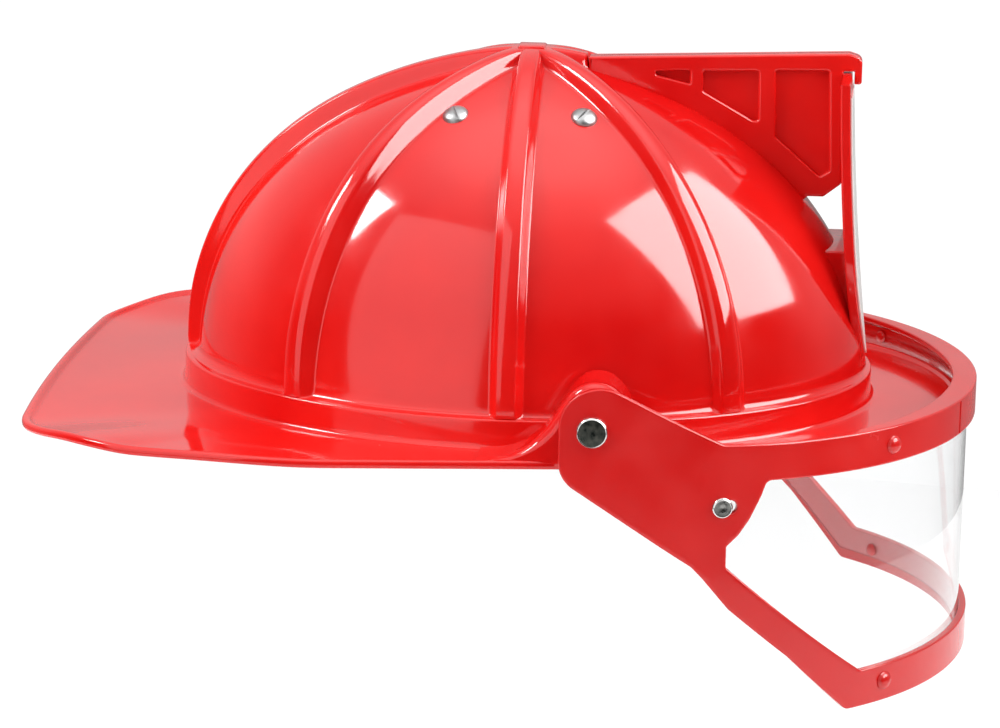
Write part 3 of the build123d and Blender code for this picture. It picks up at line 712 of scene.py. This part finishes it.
def build_shell():
    rows = shell_rows()
    verts = [tuple(p) for row in rows for p in row]
    cols = len(rows[0])
    faces = []
    for f in grid_faces(len(rows), cols, True):
        centre = [sum(verts[i][k] for i in f) / 4 for k in range(3)]
        if not in_boss(*centre):
            faces.append(f)
    top, crown = len(verts), len(verts) + 1
    verts.append((0, 0, RIB[2] + 3.0))
    verts.append((0, 0, PANEL[2] - WALL_THICKNESS))
    last = (len(rows) - 1) * cols
    for j in range(cols):
        k = (j + 1) % cols
        faces.append((k, j, top))
        faces.append((last + j, last + k, crown))
    parts = Parts()
    parts.add(verts, faces)
    for side in (-1, 1):
        boss_parts(parts, side)
    parts.add(*rounded_box((-4.7, -4.7, 100.0), (4.7, 4.7, 109.9), 0.7))

    def lean(co):
        if co.y < -105:
            return Vector((co.x, -115.4 if co.z < 10 else -109.9, co.z))
        return co

    parts.add(*rounded_box((-18.5, -112.0, -0.5), (18.5, -98.0, 44.8), 0.8, skew=lean))
    parts.piece("shell_moulding", RED, "helmet", ["helmet_shell"], "shell_red")


build_shell()

# ---------------------------------------------------------------- shield, its face and its bracket
SHIELD_AXIS = 345.0
SHIELD_LINE = ((-109.6, 104.0), (-112.2, 55.0), (-118.4, -0.5))


def shield_front(z):
    """The y of the shield's front at a height, on a parabola through SHIELD_LINE."""
    (y0, z0), (y1, z1), (y2, z2) = SHIELD_LINE
    top = y0 * (z - z1) * (z - z2) / ((z0 - z1) * (z0 - z2))
    middle = y1 * (z - z0) * (z - z2) / ((z1 - z0) * (z1 - z2))
    tip = y2 * (z - z0) * (z - z1) / ((z2 - z0) * (z2 - z1))
    return top + middle + tip


def shield_outline(inset=0.0):
    half, top, tip = 27.0 - inset, 103.6 - 2 * inset, 1.4 + 1.5 * inset
    bow = [(half * w, z) for w, z in ((1, 50), (0.985, 40), (0.90, 29), (0.72, 19.5), (0.40, 9.0))]
    side = smooth_profile([*bow, (1.2, tip + 0.3)], 8)
    right = [(half, top)] + [tuple(p) for p in side] + [(0.0, tip)]
    left = [(-x, z) for x, z in right[::-1][1:]]
    return resample(right + left, 4.0)


def shield_place(x, z, depth):
    radius = SHIELD_AXIS - shield_front(z) - depth
    return (x, SHIELD_AXIS - sqrt(radius * radius - x * x), z)


def shield_body_place(u, v, t):
    return shield_place(u, v, 1.7 - t)


SHIELD_CUTS = bends(-25, 26, 2.5) + (((0, 1, 0), 3, 103, 4),)
verts, faces = plate([shield_outline()], 3.4, 0.7, shield_body_place, SHIELD_CUTS)
weighted(add_piece("shield_moulding", verts, faces, RED_SHIELD, "helmet", ["front_shield"], 50))


def face_place(u, v, t):
    crown = (1 - (u / 25.0) ** 2) * (1 - ((v - 54.0) / 52.0) ** 2)
    return shield_place(u, v, -0.3 - t - 0.3 * max(0.0, crown) * (t > -0.2))


FACE_CUTS = bends(-24, 25, 2.0) + (((0, 1, 0), 3, 103, 3),)
verts, faces = plate([shield_outline(2.5)], 0.6, 0.2, face_place, FACE_CUTS)
weighted(add_piece("shield_face_plate", verts, faces, WHITE, "helmet", ["shield_face"], 50))


def build_bracket():
    along = np.linspace(asin(94.5 / PANEL[1]), asin(19.7 / PANEL[1]), 30)
    under = [(PANEL[1] * -sin(t), PANEL[2] * cos(t) - 0.8, 0) for t in along]
    top = [(-19.7, 106.7, 0.5), (-108.4, 110.3, 3.4), (-112.8, 108.9, 2.6)]
    lip = [(-112.8, 99.8, 0.9), (-110.3, 99.8, 0.4), (-110.3, 104.2, 0.3), (-106.6, 104.2, 0.3)]
    back = [(-106.3, 98.0, 1.0), (-107.2, 65.2, 1.2), (-101.2, 60.5, 1.2), (-95.8, 60.5, 0.8)]
    outline = rounded([*top, *lip, *back, *under], 0.5)
    front = [(-42.5, 102.4, 0.5), (-54.3, 103.0, 0.5), (-54.4, 98.4, 0.5), (-43.0, 101.0, 0.3)]
    middle = [(-58.8, 102.9), (-77.7, 103.4), (-78.0, 86.4), (-76.2, 86.3), (-59.0, 95.9)]
    rear = [(-83.6, 103.8), (-101.6, 104.2), (-102.8, 69.6), (-99.6, 67.6), (-84.2, 80.8)]
    pockets = [front] + [[(*corner, 0.8) for corner in pocket] for pocket in (middle, rear)]
    parts = Parts()
    rim = [resample(outline, 3.0), *[rounded(p, 0.3) for p in pockets]]
    parts.add(*plate(rim, 7.5, 0.9, lambda u, v, t: (t, u, v), resolution=3))
    parts.add(*plate([resample(outline, 3.0)], 2.0, 0.2, lambda u, v, t: (t, u, v)))
    weighted(parts.piece("bracket_moulding", RED_SHIELD, "helmet", ["shield_bracket"], "shell_red"))


build_bracket()

# ---------------------------------------------------------------- visor
RADIUS = 109.5
CENTRE_Y = -47.0
WALL = 2.6
QUARTER = RADIUS * pi / 2


def unrolled(y):
    """Distance round the visor's outside from the front to a side-view y."""
    if y > CENTRE_Y:
        return QUARTER + y - CENTRE_Y
    return RADIUS * acos(max(-1.0, min(1.0, (CENTRE_Y - y) / RADIUS)))


def rolled(u, z, r):
    """The place at distance u round the visor, at radius r."""
    side = 1 if u >= 0 else -1
    if abs(u) > QUARTER:
        return (side * r, CENTRE_Y + abs(u) - QUARTER, z)
    return (r * sin(u / RADIUS), CENTRE_Y - r * cos(u / RADIUS), z)


def unroll(points, step=2.0):
    """Side-view points to unrolled ones, with straight edges cut short so that they bend true."""
    out = []
    for (y0, z0), (y1, z1) in zip(points, points[1:]):
        count = max(1, int(hypot(y1 - y0, z1 - z0) / step))
        out.extend((unrolled(y0 + (y1 - y0) * k / count), z0 + (z1 - z0) * k / count) for k in range(count))
    out.append((unrolled(points[-1][0]), points[-1][1]))
    return out


def both_sides(top, corners, bottom):
    """A closed unrolled outline between two heights at the front, from one side's (y, z, radius) corners."""
    front = CENTRE_Y - RADIUS
    ahead = front - 13.5
    closed = rounded([(ahead, top, 0), *corners, (ahead, bottom, 0)], 0.6)
    chain = [p for p in closed if p[0] > front + 0.5]
    right = unroll([(front, top), *chain, (front, bottom)])
    return right + [(-u, z) for u, z in right[::-1][1:-1]]


def visor_outline():
    arm = [(-72.5, -0.6, 3), (-18.8, 25.3, 13.5), (-18.8, -13.2, 11), (-62.6, -41.4, 8)]
    strut = [(-66.4, -45.4, 6), (-75.0, -56.0, 9), (-95.0, -74.0, 30), (-114.8, -95.6, 2.5)]
    return both_sides(-0.6, arm + strut, -95.6)


def window_outline():
    bulge = [(-86.4, -13.0, 2.2), (-84.6, -18.2, 6), (-81.1, -25.7, 12), (-77.6, -31.0, 8)]
    strut = [(-73.9, -34.6, 1.2), (-73.9, -41.8, 1.2), (-119.2, -82.9, 1.6)]
    return both_sides(-13.0, bulge + strut, -82.9)


def circle(u, v, radius, count=28):
    turns = [2 * pi * k / count for k in range(count)]
    return [(u + radius * cos(t), v + radius * sin(t)) for t in turns]


LENS_RIVET = (unrolled(-72.1), -21.3)
STUD_U = [radians(a) * RADIUS for a in (-43.0, 43.0)]
STUD_Z = {"upper": -6.8, "lower": -88.6}


def build_visor():
    parts = Parts()
    holes = [window_outline()]
    for side in (-1, 1):
        holes.append(circle(side * (QUARTER + PIVOT[0] - CENTRE_Y), PIVOT[1], 2.6))
        u, z = LENS_RIVET
        holes.append(circle(side * (u - 2.6), z, 2.3, 20))
    wall = RADIUS - WALL / 2
    outlines = [visor_outline(), *holes]
    cuts = bends(-202, 203, 2.6)
    parts.add(*plate(outlines, WALL, 0.55, lambda u, v, t: rolled(u, v, wall + t), cuts))
    # the brow flange, widest at the front
    reach = np.linspace(radians(-80), radians(80), 130)
    rim = RADIUS - 0.12
    outer = [(rim * sin(t), CENTRE_Y - rim * cos(t)) for t in reach]
    inner = []
    for t in reach[::-1]:
        r = 101.2 + 6.2 * float(smoothstep(np.array((abs(t) - radians(12)) / radians(62))))
        inner.append((r * sin(t), CENTRE_Y - r * cos(t)))
    parts.add(*plate([outer + inner], 2.0, 0.5, lambda u, v, t: (u, v, -1.54 + t)))
    # the moulding's parting mark on the brow
    edge = [(-38.2, -1.15), (-37.2, -1.15), (-37.2, -12.4), (-38.2, -12.4)]
    parts.add(*plate([edge], 0.5, 0.12, lambda u, v, t: rolled(u, v, RADIUS + t)))
    weighted(parts.piece("visor_moulding", RED_VISOR, "visor", ["visor_frame"], "visor_red"))


build_visor()


def build_lens():
    outline = both_sides(-3.4, [(-80, -3.4, 4), (-66, -10, 4), (-66, -42, 4), (-115, -91.6, 4)], -91.6)
    sheet = RADIUS - WALL - 0.5
    cuts = bends(-160, 161, 2.6)
    verts, faces = plate([outline], 0.8, 0.12, lambda u, v, t: rolled(u, v, sheet + t), cuts, 1)
    weighted(add_piece("visor_sheet", verts, faces, CLEAR, "visor", ["visor_lens"], 50))


build_lens()


def out_of_visor(u, z):
    place = Vector(rolled(u, z, RADIUS))
    inside = Vector(rolled(u, z, RADIUS - 10))
    return place, (place - inside).normalized()


BACK = -(WALL + 0.1 + 0.8)
STUD = [
    (BACK - 1.0, 0.02), (BACK - 1.0, 1.3), (BACK - 0.7, 1.9), (BACK - 0.1, 2.25), (BACK - 0.06, 1.5),
    (0.0, 1.5), (0.02, 3.1), (0.22, 3.12), (0.42, 3.0),
    *[(0.42 + 1.5 * sin(t), 2.75 * cos(t) + 0.05) for t in np.linspace(0.12, pi / 2 - 0.02, 12)],
    (1.92, 0.02),
]
SMALL_RIVET = [
    (BACK - 1.4, 0.02), (BACK - 1.4, 1.8), (BACK - 1.15, 2.4), (BACK - 0.65, 2.6), (BACK - 0.6, 1.5),
    (0.02, 1.5), (0.05, 3.3), (0.3, 3.42), (0.7, 3.38), (0.95, 3.15), (1.05, 2.9), (0.98, 2.72), (0.96, 2.4),
    (1.02, 1.6), (1.0, 0.9), (0.86, 0.5), (0.82, 0.02),
]
HINGE_RIVET = [
    (-8.4, 0.02), (-8.4, 2.6), (-8.1, 3.3), (-7.5, 3.7), (-7.32, 3.8), (-7.3, 2.5), (0.08, 2.5),
    (0.1, 4.9), (0.3, 5.1), (0.8, 5.15), (1.25, 5.0), (1.5, 4.72), (1.46, 4.5), (1.36, 4.38),
    (1.42, 3.6), (1.52, 2.4), (1.56, 1.2), (1.57, 0.02),
]

for row, z in STUD_Z.items():
    parts = Parts()
    for u in STUD_U:
        place, out = out_of_visor(u, z)
        parts.add(*lathe(place, out, STUD, 40))
    parts.piece(f"studs_{row}", RED_VISOR, "visor", [f"lens_studs_{row}"], "visor_red", 40)


def build_rivet(kind, side, place, axis, profile, segments, face, body, node, face_radius, face_height):
    """A rivet whose head has a rim of bright steel round a face of its own, in a darker steel."""
    verts, faces = lathe(place, axis, profile, segments)
    looks = [BRIGHT_STEEL, face]
    rivet = add_piece(f"{kind}_{side}", verts, faces, looks, body, [f"{node}_{side}"], 40)
    axis = Vector(axis).normalized()
    for polygon in rivet.data.polygons:
        d = Vector(polygon.center) / MM - Vector(place)
        if d.dot(axis) > face_height and (d - axis * d.dot(axis)).length < face_radius:
            polygon.material_index = 1


for name, side in (("right", -1), ("left", 1)):
    place, out = out_of_visor(side * LENS_RIVET[0], LENS_RIVET[1])
    build_rivet(
        "small_rivet", name, place, out, SMALL_RIVET, 56, GREY_STEEL, "visor", "lens_rivet", 2.75, 0.5
    )
    hub = Vector((side * RADIUS, *PIVOT))
    out = (side, 0, 0)
    build_rivet(
        "hinge_rivet", name, hub, out, HINGE_RIVET, 80, DARK_STEEL, "helmet", "pivot_rivet", 4.45, 1.0
    )

# ---------------------------------------------------------------- crown screws
def panel_point(x, y):
    a, b, h = PANEL[0], float(panel_length(np.array(y))), PANEL[2]
    z = h * sqrt(1 - (x / a) ** 2 - (y / b) ** 2)
    return Vector((x, y, z)), Vector((x / a**2, y / b**2, z / h**2)).normalized()


def build_screws():
    parts = Parts()
    profile = [(-9.3, 0.02), (-9.3, 1.7), (-9.0, 1.95), (0.0, 2.0), (0.05, 4.2), (0.25, 4.4), (0.7, 4.42)]
    profile += [(0.7 + 2.5 * sin(t), 4.42 * cos(t)) for t in np.linspace(0.06, pi / 2 - 0.01, 20)]
    places = [(sx * 34.9, y) for sx in (-1, 1) for y in (-20.3, 22.7)]
    for (x, y), turn in zip(places, (0.35, 1.15, 2.3, 2.9)):
        place, out = panel_point(x, y)
        side = out.orthogonal().normalized()
        side = Matrix.Rotation(turn, 3, out) @ side
        head = bmesh.new()
        verts, faces = lathe(place, out, profile, 72)
        made = [head.verts.new(v) for v in verts]
        for f in faces:
            head.faces.new([made[k] for k in f])
        for offset in (-0.42, 0.42, -0.34, 0.34):
            bisect(head, place + side * offset, side)
        for v in head.verts:
            d = v.co - place
            if d.dot(out) > 2.0 and abs(d.dot(side)) < 0.36:
                v.co = v.co - out * (d.dot(out) - 2.0)  # the slot's floor
        parts.add(*taken(head))
    parts.piece("crown_screw_heads", ZINC, "helmet", ["crown_screws"], "screw_steel", 35)


build_screws()

# ---------------------------------------------------------------- headband, straps and brow pad
BAND = (73.0, 90.0)  # half axes of the headband's inside
BAND_WALL = 1.4


def ellipse_table(a, b):
    """Arc length against angle for an ellipse, from its front (-Y) round to the rear on +X."""
    t = np.linspace(0, pi, 721)
    x, y = a * np.sin(t), -b * np.cos(t)
    s = np.concatenate([[0], np.cumsum(np.hypot(np.diff(x), np.diff(y)))])
    return t, s


def round_ellipse(u, a, b, t_table, s_table):
    """The x, y and outward normal at distance u round an ellipse from its front."""
    angle = float(np.interp(abs(u), s_table, t_table)) * (1 if u >= 0 else -1)
    x, y = a * sin(angle), -b * cos(angle)
    return x, y, Vector((x / a**2, y / b**2, 0)).normalized()


def banded(a, b):
    """A warp that rolls (u, v, t) round a band on an ellipse, u from the front, t outwards from mid wall.

    Also gives its tables of angle and arc length."""
    a, b = a + BAND_WALL / 2, b + BAND_WALL / 2
    t_table, s_table = ellipse_table(a, b)

    def warp(u, v, t):
        x, y, n = round_ellipse(u, a, b, t_table, s_table)
        return (x + n.x * t, y + n.y * t, v)

    return warp, t_table, s_table


def build_band():
    warp, t_table, s_table = banded(*BAND)
    gap = float(np.interp(pi - asin(16.0 / (BAND[0] + BAND_WALL / 2)), t_table, s_table))
    outline = resample(rounded_rectangle(-gap, gap, -6, 20, 3), 3.0)
    holes = []
    for side in (-1, 1):
        for k in range(7):
            holes.append(circle(side * (gap - 6 - 7.5 * k), 7.0, 1.9, 20))
        for k in range(9):
            u = side * (18 + 15 * k)
            holes.append(rounded_rectangle(u - 4.5, u + 4.5, 12.6, 15.6, 1.4, 0.5))
    verts, faces = plate([outline, *holes], BAND_WALL, 0.35, warp, bends(-int(gap), int(gap), 3.0))
    weighted(add_piece("band_moulding", verts, faces, BLACK, "helmet", ["headband"], 50))

    a, b = BAND[0] + BAND_WALL, BAND[1] + BAND_WALL
    warp, t_table, s_table = banded(a + 0.15, b + 0.15)
    half = s_table[-1]
    start = float(np.interp(acos(-77.3 / (b + 0.15 + BAND_WALL / 2)), t_table, s_table))
    span = half - start
    outline = resample(rounded_rectangle(-span, span, -1, 15, 4), 3.0)

    def behind(u, v, t):
        x, y, z = warp(half - abs(u), v, t)
        return (x if u >= 0 else -x, y, z)

    parts = Parts()
    parts.add(*plate([outline], BAND_WALL, 0.4, behind, bends(-45, 46, 3.0)))
    peg = [(-2.6, 0.02), (-2.6, 1.2), (-2.3, 1.7), (-1.9, 1.85), (-1.5, 1.6), (1.0, 1.6), (1.0, 0.02)]
    for side in (-1, 1):
        for reach in (0.93, 0.965):
            y = reach * b
            x = side * a * sqrt(1 - reach**2)
            out = Vector((x / a**2, y / b**2, 0)).normalized()
            parts.add(*lathe((x, y, 7), out, peg, 28))
    weighted(parts.piece("nape_moulding", BLACK, "helmet", ["nape_strap"], "band_black"))


build_band()


def build_pad():
    """Quilted cloth pad on the inside of the brow: crowned between its stitch lines, thin at its edge."""
    a, b = BAND[0] - 0.2, BAND[1] - 0.2
    t_table, s_table = ellipse_table(a, b)
    length = float(np.interp(acos(46.0 / b), t_table, s_table))
    width, middle = 24.0, 7.0

    def padding(u, w, corner, stitch):
        """The pad's thickness at distance u round the band and share w of its width."""
        edge = sqrt(max(0.0, 1 - (abs(2 * w - 1)) ** 5))
        quilt = 0.72 + 0.28 * abs(sin(pi * (u + length) / 17.5)) ** 0.45
        return 0.5 + 3.4 * edge * (0.3 + 0.7 * corner) * quilt * stitch

    across, around = 26, 150
    rows = []
    for j in range(around + 1):
        u = -length + 2 * length * j / around
        x, y, n = round_ellipse(u, a, b, t_table, s_table)
        face, back = [], []
        end = max(0.0, min(1.0, (length - abs(u)) / 5.0))
        corner = sqrt(max(0.0, 1 - (1 - end) ** 2))
        for i in range(across + 1):
            w = i / across
            z = middle + (w - 0.5) * width * (0.80 + 0.20 * corner)
            stitch = 1 - 0.22 * np.exp(-((abs(w - 0.5) - 0.40) / 0.022) ** 2)
            thick = padding(u, w, corner, stitch)
            face.append((x - n.x * thick, y - n.y * thick, z))
            back.append((x, y, z))
        rows.append(face + back[::-1])
    parts = Parts()
    parts.grid(rows, wrap=True)
    cols = len(rows[0])
    last = (len(rows) - 1) * cols
    parts.faces.append(tuple(range(cols)))
    parts.faces.append(tuple(last + k for k in range(cols))[::-1])
    pad = parts.piece("brow_cushion", CLOTH, "helmet", ["brow_pad"], "pad_cloth", 60)
    thread = Parts()
    for w in (0.10, 0.90):
        u = -length + 6.0
        while u < length - 6.0:
            ends = []
            for s in (u, u + 2.2):
                x, y, n = round_ellipse(s, a, b, t_table, s_table)
                thick = padding(s, w, 1.0, 0.78)
                ends.append(Vector((x - n.x * thick, y - n.y * thick, middle + (w - 0.5) * width)))
            way = ends[1] - ends[0]
            reach = way.length
            profile = [(0, 0.02), (0.1, 0.2), (reach / 2, 0.28), (reach - 0.1, 0.2), (reach, 0.02)]
            thread.add(*lathe(ends[0], way, profile, 8))
            u += 3.2
    thread.piece("brow_stitches", BLACK, "helmet", (), "band_black", 60)


build_pad()

# ---------------------------------------------------------------- CAD nodes that stay, with their materials
KEPT = {
    "bracket_screws": BRIGHT_STEEL,
    "shield_screws": BRIGHT_STEEL,
    "lens_washers": BRIGHT_STEEL,
    "pivot_spacer_right": NYLON,
    "pivot_spacer_left": NYLON,
    "pivot_backing_washers": BRIGHT_STEEL,
    "crown_washers": BRIGHT_STEEL,
    "crown_nuts": BRIGHT_STEEL,
    "suspension_legs_front": BLACK,
    "suspension_legs_rear": BLACK,
    "leg_rivets": BLACK,
}
for node, material in KEPT.items():
    obj = NODES[node]
    obj.data.materials.clear()
    obj.data.materials.append(material)
    soften = obj.modifiers.new("edge", "BEVEL")
    soften.width = 0.00018
    soften.segments = 2
    soften.limit_method = "ANGLE"
    soften.angle_limit = radians(35)

# ---------------------------------------------------------------- floor, light and camera
def build_floor():
    bm = bmesh.new()
    bmesh.ops.create_circle(bm, cap_ends=True, radius=1.1, segments=96)
    mesh = bpy.data.meshes.new("studio_floor")
    bm.to_mesh(mesh)
    bm.free()
    material, nodes, links, shader = new_material("studio_paper")
    paper = noise(nodes, links, 3.0, 2.0)
    colour = ramp(nodes, links, paper.outputs["Fac"], [(0.3, grey(0.90)), (0.7, grey(0.93))])
    links.new(colour.outputs["Color"], shader.inputs["Base Color"])
    put(shader, Roughness=1.0, Specular_IOR_Level=0.0, Emission_Color=(1, 1, 1, 1))
    put(shader, Emission_Strength=0.15)
    mesh.materials.append(material)
    floor = bpy.data.objects.new("studio_floor", mesh)
    floor.location = (0, 0, CAD_BOX[0][2] - 0.26)
    bpy.context.scene.collection.objects.link(floor)


def softbox(name, place, size, radiance, lights=True, shines=True):
    """An area light aimed at the helmet; one that does not shine is absent from the gloss."""
    light = bpy.data.lights.new(name, "AREA")
    light.shape = "RECTANGLE"
    light.size, light.size_y = size
    light.energy = radiance * pi * size[0] * size[1]
    holder = bpy.data.objects.new(name, light)
    way = Vector((0, 0, 0.03)) - Vector(place)
    holder.rotation_euler = way.to_track_quat("-Z", "Y").to_euler()
    holder.location = place
    holder.visible_diffuse = lights
    holder.visible_glossy = shines
    holder.visible_camera = False
    bpy.context.scene.collection.objects.link(holder)


def eased(nodes, links, value, source, target):
    """The output of a smooth step of value from one range to another."""
    node = nodes.new("ShaderNodeMapRange")
    node.interpolation_type = "SMOOTHSTEP"
    for name, pair in (("From", source), ("To", target)):
        node.inputs[name + " Min"].default_value, node.inputs[name + " Max"].default_value = pair
    links.new(value, node.inputs["Value"])
    return node.outputs["Result"]


def build_world():
    """White to the camera, a plain pale room in the gloss, and a dim even light on everything else."""
    world = bpy.data.worlds.new("studio")
    world.use_nodes = True
    bpy.context.scene.world = world
    nodes, links = world.node_tree.nodes, world.node_tree.links
    background = nodes["Background"]
    put(background, Color=(1, 1, 1, 1))
    path = nodes.new("ShaderNodeLightPath")
    where = nodes.new("ShaderNodeTexCoord")
    split = nodes.new("ShaderNodeSeparateXYZ")
    links.new(where.outputs["Generated"], split.inputs["Vector"])
    backdrop = eased(nodes, links, split.outputs["X"], (-0.30, 0.45), (0.0, 0.64))
    above = eased(nodes, links, split.outputs["Z"], (-0.10, 0.25), (0.45, 1.0))
    wall = combine(nodes, links, "MULTIPLY", backdrop, above)
    stops = [(0.0, 0.0), (0.30, 0.0), (0.56, 0.13), (0.77, 0.30), (0.90, 0.58), (0.98, 0.95)]
    ceiling = ramp(nodes, links, split.outputs["Z"], [(place, grey(v)) for place, v in stops])
    brighter = nodes.new("ShaderNodeMath")
    brighter.operation = "MULTIPLY"
    brighter.inputs[1].default_value = 2.2
    links.new(ceiling.outputs["Color"], brighter.inputs[0])
    room = combine(nodes, links, "MAXIMUM", wall, brighter.outputs["Value"])
    ambient = nodes.new("ShaderNodeMix")
    ambient.data_type = "FLOAT"
    put(ambient, A=0.43)
    links.new(path.outputs["Is Glossy Ray"], ambient.inputs["Factor"])
    links.new(room, ambient.inputs["B"])
    rays = [path.outputs[f"Is {kind} Ray"] for kind in ("Camera", "Transmission")]
    seen = combine(nodes, links, "MAXIMUM", *rays)
    strength = nodes.new("ShaderNodeMix")
    strength.data_type = "FLOAT"
    put(strength, B=1.05)
    links.new(seen, strength.inputs["Factor"])
    links.new(ambient.outputs["Result"], strength.inputs["A"])
    links.new(strength.outputs["Result"], background.inputs["Strength"])


build_floor()
build_world()
softbox("front_softbox", (-0.36, -1.12, 0.92), (1.30, 1.25), 11.0, lights=False)
softbox("rear_softbox", (-0.34, 1.10, 1.05), (0.36, 0.42), 28.0, lights=False)
softbox("side_card", (-1.06, 0.62, 0.42), (0.95, 1.60), 1.3, lights=False)
softbox("rear_key", (-0.60, 1.60, 1.00), (1.2, 1.2), 6.2, shines=False)
softbox("front_key", (-0.50, -1.50, 1.00), (1.2, 1.2), 4.6, shines=False)
softbox("top_key", (0.0, 0.0, 1.80), (1.4, 1.4), 2.2, shines=False)

FOCAL = 3705.0
DELTA, RISE, ROLL = radians(4.8), radians(14.5), radians(0.9)
DISTANCE, AIM = 1.300, Vector((0.0, 0.0095, -0.0038))

forward = Vector((cos(DELTA) * cos(RISE), sin(DELTA) * cos(RISE), -sin(RISE)))
right = Vector((sin(DELTA), -cos(DELTA), 0))
up = right.cross(forward)
right, up = right * cos(ROLL) + up * sin(ROLL), up * cos(ROLL) - right * sin(ROLL)
camera_data = bpy.data.cameras.new("camera")
camera_data.sensor_width = 36.0
camera_data.sensor_fit = "HORIZONTAL"
camera_data.lens = 36.0 * FOCAL / 1000.0
camera_data.clip_start = 0.01
camera = bpy.data.objects.new("camera", camera_data)
place = AIM - forward * DISTANCE
camera.matrix_world = Matrix((
    (right.x, up.x, -forward.x, place.x),
    (right.y, up.y, -forward.y, place.y),
    (right.z, up.z, -forward.z, place.z),
    (0, 0, 0, 1),
))
bpy.context.scene.collection.objects.link(camera)
bpy.context.scene.camera = camera
bpy.context.scene.view_settings.view_transform = "Standard"
